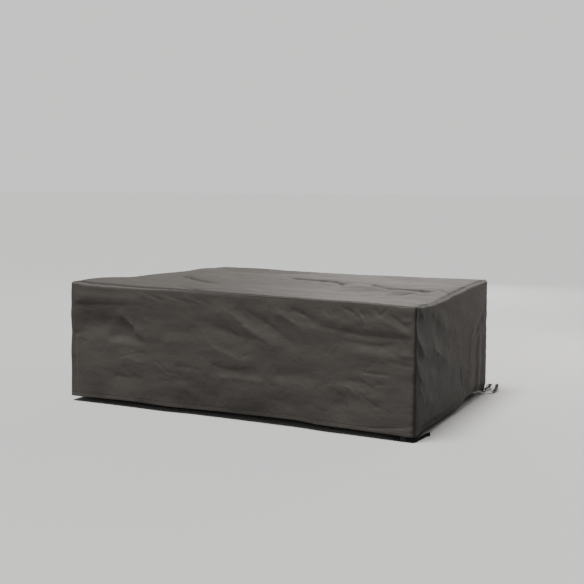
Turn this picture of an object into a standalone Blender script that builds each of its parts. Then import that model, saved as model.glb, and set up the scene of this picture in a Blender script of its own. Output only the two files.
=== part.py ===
"""A fitted cover for a set of garden furniture, as it hangs over the set: a top panel and four
skirt panels of coated polyester, sewn along the top edge and down the corners, and webbing
straps at the foot of its right hand corners, the front one with a side release buckle.

Metres, +Z up. The origin is the underside of the top panel at its middle. X runs along the
cover's length, -Y is its long front face and +X its right end.

Every height in the tables is measured up from the level of the hem. A place along a skirt panel
is X on the two long panels and Y on the two ends.
"""

from math import cos, exp, hypot, pi, radians, sin

import bmesh
import bpy
from mathutils import Matrix, Vector
from mathutils.bvhtree import BVHTree

# Driving sizes of the cover.
LENGTH = 2.20
DEPTH = 1.40
CLOTH = 0.002
HEM_CLOTH = 0.003
HEM_TALL = 0.025
HEM_TURN = 0.012
FLARE = 0.010
SEAM_GAP = 0.0003
CORNER_GAP = 0.0004
TIGHTEST_CORNER = 0.006
# The left front corner seam lies a little way onto the front face.
FRONT_SEAM = 0.042

# Cells of the cloth. The front and the right end have two cells to each one of the top panel.
ROLL_CELLS = 3
FINE_ROWS = 15
PLAIN_ROWS = 9
FINE = 2
PLAIN = 1
LEAN_STEP = 0.006

# Webbing straps.
WEBBING_WIDE = 0.020
WEBBING_THICK = 0.0014
SEWN_GAP = 0.0006
# Places across the webbing at which it is set against the cloth.
WEBBING_LOOKS = 12

# The front strap's buckle. Its parts are given along X, Y and Z from its own middle.
BUCKLE_MIDDLE = Vector((1.0435, -0.7025, -0.0115))
BUCKLE_HALF_WIDE = 0.0125
SOCKET_HALF_THICK = 0.0035
PLUG_HALF_THICK = 0.0030
PRONG_HALF_THICK = 0.0015
BUCKLE_EDGE = 0.0008

HALF_X = LENGTH / 2
HALF_Y = DEPTH / 2
ROUND_TRIP = 2 * (LENGTH + DEPTH)

# The corners of the skirt in the order in which its panels run round the cover, anticlockwise
# from above. Each side starts at the corner of the same row.
CORNERS = [
    # name, x side, y side, radius of its vertical edge
    ("front_left", -1, -1, 0.018),
    ("front_right", 1, -1, 0.010),
    ("back_right", 1, 1, 0.016),
    ("back_left", -1, 1, 0.026),
]
SIDES = [
    # name, distance at which it starts, length, cells of the top panel's edge
    ("front", 0.0, LENGTH, 28),
    ("right_end", LENGTH, DEPTH, 18),
    ("back", LENGTH + DEPTH, LENGTH, 28),
    ("left_end", 2 * LENGTH + DEPTH, DEPTH, 18),
]

# The seam round the top: its height, and the radius with which the skirt rolls over to it.
TOP_EDGE = [
    # side, share of the side, height, roll
    ("front", 0.00, 0.701, 0.021),
    ("front", 0.07, 0.700, 0.028),
    ("front", 0.22, 0.698, 0.028),
    ("front", 0.35, 0.700, 0.019),
    ("front", 0.58, 0.697, 0.012),
    ("front", 0.85, 0.695, 0.009),
    ("right_end", 0.00, 0.688, 0.010),
    ("right_end", 0.10, 0.693, 0.018),
    ("right_end", 0.22, 0.692, 0.023),
    ("right_end", 0.50, 0.698, 0.022),
    ("right_end", 0.75, 0.703, 0.020),
    ("back", 0.00, 0.705, 0.017),
    ("back", 0.22, 0.698, 0.018),
    ("back", 0.45, 0.693, 0.018),
    ("back", 0.63, 0.695, 0.018),
    ("back", 0.72, 0.700, 0.018),
    ("back", 0.86, 0.698, 0.020),
    ("back", 0.92, 0.685, 0.022),
    ("left_end", 0.00, 0.660, 0.024),
    ("left_end", 0.50, 0.682, 0.026),
    ("left_end", 0.90, 0.699, 0.026),
]
# The hem: its height, which is uneven, and how far it is drawn in under the edge of the skirt.
HEM_EDGE = [
    # side, share of the side, height, drawn in
    ("front", 0.00, 0.004, 0.000),
    ("front", 0.22, 0.011, 0.000),
    ("front", 0.35, 0.006, 0.000),
    ("front", 0.50, 0.012, 0.002),
    ("front", 0.67, 0.016, 0.000),
    ("front", 0.76, 0.009, 0.000),
    ("front", 0.94, 0.006, 0.000),
    ("right_end", 0.00, 0.002, 0.000),
    ("right_end", 0.10, 0.000, 0.012),
    ("right_end", 0.33, -0.001, 0.008),
    ("right_end", 0.58, 0.009, 0.000),
    ("right_end", 0.69, 0.029, 0.004),
    ("right_end", 0.80, 0.024, 0.010),
    ("right_end", 0.93, 0.003, 0.018),
    ("back", 0.00, -0.004, 0.008),
    ("back", 0.12, 0.008, 0.002),
    ("back", 0.40, 0.004, 0.000),
    ("back", 0.66, 0.011, 0.000),
    ("back", 0.90, 0.005, 0.000),
    ("left_end", 0.10, 0.003, 0.000),
    ("left_end", 0.45, 0.010, 0.002),
    ("left_end", 0.80, 0.003, 0.000),
]
# The hem is drawn in over this much of the height above it, and folds fade in under the roll.
DRAWN_TALL = 0.045
FOLD_FADE = 0.09

# The main folds of each panel, as soft ridges and troughs from one point to the next. The rise
# is outwards on the skirt and upwards on the top panel, and it is negative in a trough.
FOLDS = {
    "front": [
        # x, height, to x, to height, half width, rise at the start, rise at the end
        (-1.02, 0.622, -0.62, 0.620, 0.040, 0.008, 0.004),
        (-0.99, 0.462, -0.72, 0.446, 0.085, -0.024, -0.016),
        (-0.72, 0.446, -0.60, 0.420, 0.055, -0.008, -0.004),
        (-1.00, 0.330, -0.70, 0.330, 0.080, -0.008, -0.006),
        (-0.74, 0.512, -0.63, 0.430, 0.034, 0.009, 0.007),
        (-0.63, 0.430, -0.50, 0.385, 0.034, 0.004, 0.003),
        (-0.80, 0.392, -0.47, 0.380, 0.034, -0.008, -0.004),
        (-0.71, 0.268, -0.59, 0.240, 0.034, 0.006, 0.005),
        (-0.51, 0.275, -0.38, 0.195, 0.034, 0.005, 0.004),
        (-0.41, 0.455, -0.20, 0.460, 0.034, -0.007, -0.005),
        (-0.16, 0.375, 0.10, 0.312, 0.036, 0.010, 0.007),
        (-0.10, 0.248, 0.16, 0.250, 0.036, -0.010, -0.008),
        (-0.06, 0.575, 0.26, 0.420, 0.044, 0.012, 0.008),
        (0.04, 0.605, 0.37, 0.445, 0.034, -0.010, -0.008),
        (-0.20, 0.520, 0.12, 0.440, 0.040, -0.008, -0.006),
        (0.24, 0.615, 0.45, 0.525, 0.034, 0.007, 0.004),
        (0.37, 0.622, 0.50, 0.580, 0.034, -0.009, -0.007),
        (0.50, 0.570, 0.72, 0.524, 0.034, -0.006, -0.008),
        (0.72, 0.522, 1.06, 0.512, 0.034, -0.008, -0.008),
        (0.60, 0.575, 0.90, 0.560, 0.040, 0.006, 0.006),
        (0.88, 0.605, 1.05, 0.540, 0.034, 0.006, 0.004),
        (0.68, 0.470, 0.98, 0.462, 0.034, -0.005, -0.006),
        (0.80, 0.420, 1.07, 0.425, 0.034, 0.005, 0.005),
        (0.72, 0.262, 0.94, 0.248, 0.034, -0.007, -0.006),
        (0.68, 0.220, 0.90, 0.185, 0.034, 0.006, 0.005),
        (0.66, 0.170, 0.70, 0.110, 0.044, -0.008, -0.006),
        (0.33, 0.262, 0.50, 0.262, 0.036, -0.008, -0.006),
        (0.18, 0.085, 0.36, 0.110, 0.060, -0.010, -0.008),
        (-0.80, 0.150, -0.60, 0.140, 0.054, -0.008, -0.006),
        (-0.32, 0.190, -0.10, 0.100, 0.050, -0.009, -0.009),
        (-0.30, 0.010, 0.45, 0.015, 0.100, -0.010, -0.012),
        (-0.95, 0.000, -0.60, 0.000, 0.080, -0.005, -0.006),
        (0.88, 0.006, 1.07, 0.014, 0.034, 0.004, 0.007),
    ],
    "right_end": [
        (-0.68, 0.560, -0.60, 0.460, 0.045, 0.005, 0.007),
        (-0.60, 0.460, -0.40, 0.400, 0.045, 0.004, 0.004),
        (-0.64, 0.600, -0.36, 0.575, 0.060, -0.009, -0.006),
        (-0.67, 0.382, -0.56, 0.290, 0.045, 0.004, 0.006),
        (-0.66, 0.430, -0.34, 0.318, 0.045, -0.008, -0.005),
        (-0.40, 0.640, -0.22, 0.548, 0.045, 0.004, 0.004),
        (-0.38, 0.430, -0.14, 0.322, 0.045, 0.005, 0.004),
        (-0.35, 0.500, -0.05, 0.420, 0.050, -0.005, -0.004),
        (-0.62, 0.230, -0.40, 0.130, 0.050, 0.004, 0.003),
        (0.10, 0.190, 0.20, 0.110, 0.050, -0.005, -0.004),
        (0.31, 0.110, 0.30, 0.400, 0.040, 0.004, 0.003),
        (0.43, 0.030, 0.45, 0.270, 0.036, -0.007, -0.006),
        (0.45, 0.270, 0.56, 0.400, 0.036, -0.003, -0.004),
        (0.50, 0.020, 0.51, 0.290, 0.036, 0.007, 0.006),
        (0.51, 0.290, 0.62, 0.430, 0.036, 0.003, 0.004),
        (0.57, 0.040, 0.58, 0.280, 0.034, -0.006, -0.005),
        (0.65, 0.050, 0.65, 0.330, 0.036, 0.005, 0.004),
        (0.36, 0.440, 0.63, 0.625, 0.045, 0.006, 0.005),
        (0.46, 0.440, 0.65, 0.545, 0.040, -0.005, -0.004),
    ],
    "back": [
        (0.98, 0.560, 0.55, 0.430, 0.070, 0.012, 0.006),
        (1.00, 0.430, 0.66, 0.300, 0.060, -0.012, -0.007),
        (0.30, 0.600, 0.22, 0.140, 0.070, -0.008, -0.011),
        (0.12, 0.560, 0.08, 0.100, 0.070, 0.008, 0.011),
        (-0.25, 0.610, -0.55, 0.470, 0.060, -0.011, -0.008),
        (-0.75, 0.600, -0.98, 0.330, 0.065, 0.014, 0.010),
        (-0.86, 0.640, -1.02, 0.480, 0.055, -0.014, -0.009),
        (-0.60, 0.280, -0.80, 0.060, 0.060, -0.008, -0.012),
    ],
    "left_end": [
        (0.60, 0.560, 0.30, 0.380, 0.065, 0.013, 0.007),
        (0.56, 0.400, 0.30, 0.250, 0.060, -0.012, -0.007),
        (0.00, 0.560, -0.06, 0.120, 0.065, -0.007, -0.012),
        (-0.22, 0.520, -0.26, 0.100, 0.065, 0.007, 0.011),
        (-0.46, 0.600, -0.62, 0.605, 0.040, 0.005, 0.003),
        (-0.48, 0.520, -0.62, 0.525, 0.040, -0.006, -0.003),
    ],
    "top": [
        # x, y, to x, to y, half width, rise at the start, rise at the end
        (-0.77, 0.075, -0.42, -0.175, 0.050, -0.010, -0.008),
        (-0.66, 0.180, -0.30, -0.080, 0.060, 0.006, 0.005),
        (-0.10, 0.315, 0.12, 0.295, 0.050, -0.008, -0.008),
        (0.12, 0.295, 0.33, 0.180, 0.050, -0.007, -0.008),
        (0.49, 0.195, 0.67, 0.058, 0.050, -0.009, -0.009),
        (0.67, 0.058, 0.90, 0.045, 0.050, -0.008, -0.009),
        (0.93, -0.010, 0.66, -0.330, 0.060, -0.006, -0.005),
        (0.42, 0.100, 0.84, -0.060, 0.070, 0.006, 0.006),
        (-0.46, -0.450, -0.26, -0.590, 0.060, -0.009, -0.012),
        (-1.00, -0.260, -0.62, -0.380, 0.110, -0.009, -0.007),
        (-0.58, 0.480, -0.20, 0.560, 0.120, -0.011, -0.009),
        (0.10, 0.020, 0.45, -0.120, 0.260, -0.011, -0.009),
        (0.62, 0.420, 0.86, 0.360, 0.150, -0.008, -0.007),
        (-0.90, 0.560, -0.80, 0.380, 0.080, 0.008, 0.006),
    ],
}
# Folds reach round a corner by this much, and on the top panel they fade out toward its seam.
FOLD_REACH = 0.15
TOP_FADE = 0.070

# The front right corner's straps stand on edge. The fixed half is sewn behind the front hem and
# goes round the socket's bar. The adjusting half is sewn behind the right end's hem, goes round
# the corner and the plug's bar, and comes back over itself to its free end.
FIXED_HALF = [
    # x, y, height
    (0.9980, -0.7035, -0.0047),
    (1.0120, -0.7010, -0.0095),
    (1.0190, -0.6998, -0.0113),
    (1.0218, -0.6998, -0.0115),
    (1.0237, -0.7006, -0.0115),
    (1.0245, -0.7025, -0.0115),
    (1.0237, -0.7044, -0.0115),
    (1.0218, -0.7052, -0.0115),
    (1.0120, -0.7052, -0.0092),
    (1.0000, -0.7053, -0.0053),
]
FIXED_HALF_SEWN = [
    # x, y to look outwards from, height
    (0.9750, -0.66, 0.0028),
    (0.9520, -0.66, 0.0103),
    (0.9300, -0.66, 0.0175),
]
ADJUSTING_HALF_SEWN = [
    # x to look outwards from, y, height
    (1.05, -0.5250, 0.0130),
    (1.05, -0.5500, 0.0090),
    (1.05, -0.5750, 0.0040),
]
ADJUSTING_HALF = [
    # x, y, height
    (1.0925, -0.6050, -0.0050),
    (1.0940, -0.6400, -0.0120),
    (1.0975, -0.6720, -0.0155),
    (1.0980, -0.6860, -0.0160),
    (1.0952, -0.6955, -0.0160),
    (1.0880, -0.6993, -0.0155),
    (1.0770, -0.6998, -0.0135),
    (1.0680, -0.6998, -0.0118),
    (1.0652, -0.6998, -0.0115),
    (1.0633, -0.7006, -0.0115),
    (1.0625, -0.7025, -0.0115),
    (1.0633, -0.7044, -0.0115),
    (1.0652, -0.7052, -0.0115),
    (1.0680, -0.7052, -0.0118),
    (1.0770, -0.7052, -0.0132),
    (1.0920, -0.7050, -0.0155),
    (1.1003, -0.7018, -0.0165),
    (1.1045, -0.6935, -0.0170),
    (1.1065, -0.6750, -0.0170),
    (1.1100, -0.6360, -0.0170),
    (1.1160, -0.5880, -0.0170),
    (1.1220, -0.5450, -0.0165),
    (1.1340, -0.5280, -0.0160),
]
# The back right corner's straps hang unbuckled. They lie flat, and their width is level and
# square to their heading. One springs up in a small arch outside the corner before it lies down.
ARCHED_SEWN = [
    # x to look outwards from, y, height, heading in degrees from +X
    (1.05, 0.6750, 0.0220, 0),
    (1.05, 0.6750, 0.0060, 0),
]
ARCHED = [
    # x, y, height, heading
    (1.0920, 0.6750, -0.0090, 0),
    (1.0970, 0.6750, -0.0180, 0),
    (1.1065, 0.6750, -0.0195, 0),
    (1.1128, 0.6750, -0.0110, 0),
    (1.1165, 0.6750, 0.0060, 0),
    (1.1205, 0.6755, 0.0240, 0),
    (1.1270, 0.6760, 0.0325, 0),
    (1.1335, 0.6770, 0.0260, 2),
    (1.1390, 0.6790, 0.0100, 8),
    (1.1440, 0.6830, -0.0060, 22),
    (1.1500, 0.6930, -0.0150, 45),
    (1.1560, 0.7120, -0.0180, 70),
    (1.1580, 0.7400, -0.0150, 88),
    (1.1540, 0.7900, -0.0080, 95),
    (1.1420, 0.8550, 0.0020, 101),
]
LYING_SEWN = [
    # x, y to look outwards from, height, heading
    (1.0700, 0.66, 0.0210, 90),
    (1.0700, 0.66, 0.0050, 90),
]
LYING = [
    # x, y, height, heading
    (1.0700, 0.6955, -0.0090, 90),
    (1.0700, 0.7000, -0.0185, 90),
    (1.0710, 0.7125, -0.0205, 88),
    (1.0760, 0.7280, -0.0180, 72),
    (1.0900, 0.7500, -0.0145, 60),
    (1.1010, 0.7750, -0.0110, 74),
    (1.1040, 0.8080, -0.0065, 92),
    (1.1000, 0.8500, 0.0000, 96),
]

CLOTH_COLOUR = (0.085, 0.077, 0.069, 1.0)
WEBBING_COLOUR = (0.010, 0.010, 0.011, 1.0)
PLASTIC_COLOUR = (0.012, 0.012, 0.013, 1.0)


def smooth_step(share):
    share = min(max(share, 0.0), 1.0)
    return share * share * (3 - 2 * share)


def along_skirt(table):
    """An edge table's rows as distance along the whole skirt and the two measures there."""
    starts = {name: (start, length) for name, start, length, _ in SIDES}
    return [
        (starts[side][0] + share * starts[side][1], first, second)
        for side, share, first, second in table
    ]


TOP_ALONG = along_skirt(TOP_EDGE)
HEM_ALONG = along_skirt(HEM_EDGE)


def edge_at(rows, s):
    """The two measures of an edge at distance s along the skirt, joined smoothly."""
    s = s % ROUND_TRIP
    after = next((i for i, row in enumerate(rows) if row[0] > s), 0)
    low, high = rows[after - 1], rows[after]
    share = smooth_step((s - low[0]) % ROUND_TRIP / ((high[0] - low[0]) % ROUND_TRIP))
    return low[1] + (high[1] - low[1]) * share, low[2] + (high[2] - low[2]) * share


def on_arc(number, share, inset):
    """Point and outward direction on a rounded corner, at a share of its quarter turn."""
    _, x_side, y_side, radius = CORNERS[number % 4]
    radius = max(radius - inset, TIGHTEST_CORNER)
    from_middle = inset + radius
    centre = Vector((x_side * (HALF_X - from_middle), y_side * (HALF_Y - from_middle), 0.0))
    angle = pi + (number % 4 + share) * pi / 2
    out = Vector((cos(angle), sin(angle), 0.0))
    return centre + radius * out, out


def on_plan(s, inset):
    """Point and outward direction at distance s along the skirt, inset from its face."""
    s = s % ROUND_TRIP
    number = max(k for k, side in enumerate(SIDES) if side[1] <= s)
    along = s - SIDES[number][1]
    length = SIDES[number][2]
    here = CORNERS[number][3]
    there = CORNERS[(number + 1) % 4][3]
    if along < here:
        return on_arc(number, 0.5 + along / here / 2, inset)
    if along > length - there:
        return on_arc(number + 1, (along - length + there) / there / 2, inset)
    first, out = on_arc(number, 1.0, inset)
    last, _ = on_arc(number + 1, 0.0, inset)
    return first.lerp(last, (along - here) / (length - here - there)), out


def fold_rise(folds, a, b):
    """Sum of the soft ridges and troughs at the place a, b of a panel."""
    rise = 0.0
    for a0, b0, a1, b1, half_width, start, end in folds:
        run_a, run_b = a1 - a0, b1 - b0
        share = ((a - a0) * run_a + (b - b0) * run_b) / (run_a**2 + run_b**2)
        share = min(max(share, 0.0), 1.0)
        away = hypot(a - a0 - share * run_a, b - b0 - share * run_b) / half_width
        if away < 3:
            rise += (start + (end - start) * share) * exp(-(away**2))
    return rise


def skirt_rise(s, height):
    """Folds of the side at distance s along the skirt and, near a corner, of its neighbour."""
    rise = 0.0
    for name, start, length, _ in SIDES:
        along = (s - start + FOLD_REACH) % ROUND_TRIP - FOLD_REACH
        if along < length + FOLD_REACH:
            place = along - length / 2
            if name in ("back", "left_end"):
                place = -place
            rise += fold_rise(FOLDS[name], place, height)
    return rise


def skirt_point(s, row, rows):
    """Outer face of the skirt at distance s along it. Row 0 is at the top seam."""
    top, roll = edge_at(TOP_ALONG, s)
    if row <= ROLL_CELLS:
        angle = row / ROLL_CELLS * pi / 2
        inset = roll * (1 - sin(angle)) - (SEAM_GAP / 2 if row == 0 else 0.0)
        point, _ = on_plan(s, inset)
        return point + Vector((0, 0, top - roll * (1 - cos(angle))))
    hem, drawn_in = edge_at(HEM_ALONG, s)
    high = top - roll
    turn = hem + HEM_TALL + HEM_TURN
    height = high + (turn - high) * (row - ROLL_CELLS) / (rows - 2 - ROLL_CELLS)
    if row > rows - 2:
        height = hem + HEM_TALL * (rows - row)
    fall = (high - height) / (high - hem)
    near_hem = max(0.0, 1 - (height - hem) / DRAWN_TALL)
    rise = skirt_rise(s, height) * smooth_step(fall / FOLD_FADE) - drawn_in * near_hem
    point, out = on_plan(s, -FLARE * fall)
    return point + rise * out + Vector((0, 0, height))


def top_edge_point(s):
    """The top panel's own edge at distance s along the skirt."""
    top, roll = edge_at(TOP_ALONG, s)
    point, _ = on_plan(s, roll + SEAM_GAP / 2)
    return point + Vector((0, 0, top))


def side_columns(number, split):
    """Distances along the skirt over one side, corner to corner, as pairs with whether the top
    panel's edge has a point there too."""
    _, start, length, cells = SIDES[number]
    here = CORNERS[number][3]
    there = CORNERS[(number + 1) % 4][3]
    span = length - 2 * FRONT_SEAM
    even = [(FRONT_SEAM + span * i / cells / split, i % split == 0) for i in range(cells * split + 1)]
    first = [(0.0, True), (here / 2, True), (here, True)]
    last = [(length - there, True), (length - there / 2, True), (length, True)]
    return [(start + along, shared) for along, shared in first + even + last]


def closed_sheet(name, cells_i, cells_j, outer, inward, material):
    """A closed solid on a grid. outer(i, j) is its outer face and inward(i, j) its thickness."""
    mesh = bmesh.new()
    place = mesh.verts.layers.int.new("place")
    bmesh.ops.create_grid(mesh, x_segments=cells_i, y_segments=cells_j, size=0.5)
    for vert in mesh.verts:
        i = round((vert.co.x + 0.5) * cells_i)
        j = round((vert.co.y + 0.5) * cells_j)
        vert[place] = i * (cells_j + 1) + j
        vert.co = outer(i, j)
    extruded = bmesh.ops.extrude_face_region(mesh, geom=list(mesh.faces))
    for vert in extruded["geom"]:
        if isinstance(vert, bmesh.types.BMVert):
            vert.co += inward(*divmod(vert[place], cells_j + 1))
    bmesh.ops.triangulate(mesh, faces=list(mesh.faces), quad_method="SHORT_EDGE")
    return finished(name, mesh, material)


def finished(name, mesh, material):
    """A named object from a closed mesh, its faces turned outwards."""
    bmesh.ops.recalc_face_normals(mesh, faces=list(mesh.faces))
    if mesh.calc_volume(signed=True) < 0:
        bmesh.ops.reverse_faces(mesh, faces=list(mesh.faces))
    data = bpy.data.meshes.new(name)
    mesh.to_mesh(data)
    mesh.free()
    data.materials.append(material)
    solid = bpy.data.objects.new(name, data)
    bpy.context.scene.collection.objects.link(solid)
    return solid


def skirt_panel(name, columns, rows, material):
    """One panel of the skirt, its columns running from seam to seam."""
    rows += ROLL_CELLS
    last = len(columns) - 1
    kept = {}

    def raw(s, j):
        if (s, j) not in kept:
            kept[s, j] = skirt_point(s, j, rows)
        return kept[s, j]

    def outer(i, j):
        s, shared = columns[i]
        if j == 0 and not shared:
            return (outer(i - 1, 0) + outer(i + 1, 0)) / 2
        if 0 < i < last:
            return raw(s, j)
        along = (raw(s + LEAN_STEP, j) - raw(s - LEAN_STEP, j)).normalized()
        return raw(s, j) + along * CORNER_GAP / 2 * (1 if i == 0 else -1)

    def inward(i, j):
        thick = HEM_CLOTH if j >= rows - 1 else CLOTH
        if j == 0:
            return Vector((0, 0, -thick))
        s = columns[i][0]
        along = raw(s + LEAN_STEP, j) - raw(s - LEAN_STEP, j)
        down = raw(s, min(j + 1, rows)) - raw(s, j - 1)
        return thick * along.cross(down).normalized()

    return closed_sheet(name, last, rows, outer, inward, material)


def top_panel(material):
    """The top panel, spanned between its four edges, with its own folds."""
    front, right, back, left = ([s for s, _ in side_columns(k, PLAIN)] for k in range(4))
    back.reverse()
    left.reverse()
    last_i, last_j = len(front) - 1, len(right) - 1
    near_corners = top_edge_point(front[0]), top_edge_point(front[-1])
    far_corners = top_edge_point(back[0]), top_edge_point(back[-1])
    kept = {}

    def spanned(i, j):
        share_i = front[i] / LENGTH
        share_j = (right[j] - LENGTH) / DEPTH
        lengthwise = top_edge_point(left[j]).lerp(top_edge_point(right[j]), share_i)
        crosswise = top_edge_point(front[i]).lerp(top_edge_point(back[i]), share_j)
        flat = near_corners[0].lerp(near_corners[1], share_i).lerp(
            far_corners[0].lerp(far_corners[1], share_i), share_j
        )
        return lengthwise + crosswise - flat

    def outer(i, j):
        if (i, j) not in kept:
            point = spanned(i, j)
            if 0 < i < last_i and 0 < j < last_j:
                from_edge = min(HALF_X - abs(point.x), HALF_Y - abs(point.y))
                rise = fold_rise(FOLDS["top"], point.x, point.y)
                point.z += rise * smooth_step(from_edge / TOP_FADE)
            kept[i, j] = point
        return kept[i, j]

    def inward(i, j):
        if i in (0, last_i) or j in (0, last_j):
            return Vector((0, 0, -CLOTH))
        across = outer(i + 1, j) - outer(i - 1, j)
        deep = outer(i, j + 1) - outer(i, j - 1)
        return -CLOTH * across.cross(deep).normalized()

    return closed_sheet("top_panel", last_i, last_j, outer, inward, material)


def surface_of(solid):
    data = solid.data
    return BVHTree.FromPolygons([v.co for v in data.vertices], [p.vertices for p in data.polygons])


def just_inside(surface, edges, outwards):
    """A strap's two edges moved outwards until its outer face all but meets the cloth."""
    places = [edges[0].lerp(edges[1], k / WEBBING_LOOKS) for k in range(WEBBING_LOOKS + 1)]
    hits = [surface.ray_cast(place, outwards) for place in places]
    free = min(distance for _, _, _, distance in hits if distance is not None)
    moved = (free - SEWN_GAP - WEBBING_THICK / 2) * outwards
    return edges[0] + moved, edges[1] + moved


def on_edge(row):
    """Low and high edges of a strap that stands on edge."""
    half = Vector((0, 0, WEBBING_WIDE / 2))
    return Vector(row) - half, Vector(row) + half


def lying_flat(row):
    """Side edges of a strap whose width is level and square to its heading."""
    heading = radians(row[3])
    half = WEBBING_WIDE / 2 * Vector((-sin(heading), cos(heading), 0))
    return Vector(row[:3]) - half, Vector(row[:3]) + half


def strap(name, sections, material):
    """A webbing strap through a row of sections, each the two edges of its middle plane."""
    mesh = bmesh.new()
    rings = []
    for k, (low, high) in enumerate(sections):
        before = sections[max(k - 1, 0)]
        after = sections[min(k + 1, len(sections) - 1)]
        along = after[0] + after[1] - before[0] - before[1]
        half = along.cross(high - low).normalized() * WEBBING_THICK / 2
        corners = (low - half, high - half, high + half, low + half)
        rings.append([mesh.verts.new(corner) for corner in corners])
    for one, two in zip(rings, rings[1:], strict=False):
        for k in range(4):
            mesh.faces.new((one[k], one[(k + 1) % 4], two[(k + 1) % 4], two[k]))
    mesh.faces.new(rings[0])
    mesh.faces.new(rings[-1])
    bmesh.ops.triangulate(mesh, faces=list(mesh.faces), quad_method="SHORT_EDGE")
    return finished(name, mesh, material)


def block(x_from, x_to, half_thick, z_from, z_to, edge=0.0):
    """A block of the buckle, from its middle, its long edges taken off by an edge width."""
    mesh = bmesh.new()
    middle = Vector(((x_from + x_to) / 2, 0, (z_from + z_to) / 2))
    scale = Matrix.Diagonal((x_to - x_from, 2 * half_thick, z_to - z_from, 1.0))
    bmesh.ops.create_cube(mesh, size=1.0, matrix=Matrix.Translation(BUCKLE_MIDDLE + middle) @ scale)
    if edge:
        long_edges = [e for e in mesh.edges if abs((e.verts[0].co - e.verts[1].co).x) > edge]
        bmesh.ops.bevel(mesh, geom=long_edges, offset=edge, segments=1, affect="EDGES")
    data = bpy.data.meshes.new("block")
    mesh.to_mesh(data)
    mesh.free()
    made = bpy.data.objects.new("block", data)
    bpy.context.scene.collection.objects.link(made)
    return made


def joined(name, first, others, material):
    """A solid from blocks, each of the others added to the first or taken from it in turn."""
    for operation, other in others:
        change = first.modifiers.new(operation, "BOOLEAN")
        change.operation = operation
        change.solver = "EXACT"
        change.object = other
        seen = first.evaluated_get(bpy.context.evaluated_depsgraph_get())
        data = bpy.data.meshes.new_from_object(seen)
        first.modifiers.clear()
        first.data = data
        bpy.data.objects.remove(other, do_unlink=True)
    first.name = name
    first.data.name = name
    first.data.materials.clear()
    first.data.materials.append(material)
    return first


def buckle(material):
    """The socket half, with its side windows, and the plug half, whose prongs are in it."""
    wide = BUCKLE_HALF_WIDE
    socket = block(-0.0170, 0.0065, SOCKET_HALF_THICK, -wide, wide, BUCKLE_EDGE)
    parts = [
        ("UNION", block(-0.0245, -0.0160, PRONG_HALF_THICK, -wide, wide)),
        ("DIFFERENCE", block(-0.0210, -0.0170, SOCKET_HALF_THICK, -0.0108, 0.0108)),
        ("DIFFERENCE", block(-0.0130, 0.0080, 0.0019, -0.0100, 0.0100)),
        ("DIFFERENCE", block(-0.0095, 0.0015, 0.0019, -0.0140, 0.0140)),
    ]
    joined("buckle_socket", socket, parts, material)
    plug = block(0.0075, 0.0170, PLUG_HALF_THICK, -wide, wide, BUCKLE_EDGE)
    parts = [
        ("UNION", block(0.0160, 0.0245, PRONG_HALF_THICK, -wide, wide)),
        ("DIFFERENCE", block(0.0170, 0.0210, PLUG_HALF_THICK, -0.0108, 0.0108)),
        ("UNION", block(-0.0088, 0.0080, PRONG_HALF_THICK, 0.0056, 0.0093)),
        ("UNION", block(-0.0088, 0.0008, PRONG_HALF_THICK, 0.0080, 0.0118)),
        ("UNION", block(-0.0088, 0.0080, PRONG_HALF_THICK, -0.0093, -0.0056)),
        ("UNION", block(-0.0088, 0.0008, PRONG_HALF_THICK, -0.0118, -0.0080)),
        ("UNION", block(-0.0080, 0.0080, PRONG_HALF_THICK, -0.0015, 0.0015)),
    ]
    joined("buckle_plug", plug, parts, material)


def plain_material(name, colour, roughness):
    material = bpy.data.materials.new(name)
    material.use_nodes = True
    shader = material.node_tree.nodes["Principled BSDF"]
    shader.inputs["Base Color"].default_value = colour
    shader.inputs["Roughness"].default_value = roughness
    return material


def build_cover():
    """All pieces of the cover, at their heights above the level of the hem."""
    cloth = plain_material("cover_cloth", CLOTH_COLOUR, 0.75)
    webbing = plain_material("black_webbing", WEBBING_COLOUR, 0.85)
    plastic = plain_material("black_plastic", PLASTIC_COLOUR, 0.4)
    front = side_columns(0, FINE)
    seam = next(i for i, (s, _) in enumerate(front) if s >= FRONT_SEAM)
    left = side_columns(3, PLAIN) + [(ROUND_TRIP + s, shared) for s, shared in front[1 : seam + 1]]
    panels = [
        top_panel(cloth),
        skirt_panel("front_panel", front[seam:], FINE_ROWS, cloth),
        skirt_panel("right_end_panel", side_columns(1, FINE), FINE_ROWS, cloth),
        skirt_panel("back_panel", side_columns(2, PLAIN), PLAIN_ROWS, cloth),
        skirt_panel("left_end_panel", left, PLAIN_ROWS, cloth),
    ]
    for panel in panels:
        panel.data.shade_smooth()

    front_face, right_face, back_face = (surface_of(panel) for panel in panels[1:4])
    forwards, rightwards, backwards = Vector((0, -1, 0)), Vector((1, 0, 0)), Vector((0, 1, 0))
    sewn = [just_inside(front_face, on_edge(row), forwards) for row in FIXED_HALF_SEWN]
    strap("strap_front_right_fixed", [on_edge(row) for row in FIXED_HALF] + sewn, webbing)
    sewn = [just_inside(right_face, on_edge(row), rightwards) for row in ADJUSTING_HALF_SEWN]
    strap("strap_front_right_adjusting", sewn + [on_edge(row) for row in ADJUSTING_HALF], webbing)
    sewn = [just_inside(right_face, lying_flat(row), rightwards) for row in ARCHED_SEWN]
    strap("strap_back_right_arched", sewn + [lying_flat(row) for row in ARCHED], webbing)
    sewn = [just_inside(back_face, lying_flat(row), backwards) for row in LYING_SEWN]
    strap("strap_back_right_lying", sewn + [lying_flat(row) for row in LYING], webbing)
    buckle(plastic)
    return panels[0]


for old in list(bpy.data.objects):
    bpy.data.objects.remove(old, do_unlink=True)

top = build_cover()
# The underside of the top panel's middle is brought to the origin.
underside, _, _, _ = surface_of(top).ray_cast(Vector((0, 0, 0)), Vector((0, 0, 1)))
for solid in bpy.data.objects:
    solid.data.transform(Matrix.Translation(-underside))
    solid.data.update()
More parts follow.
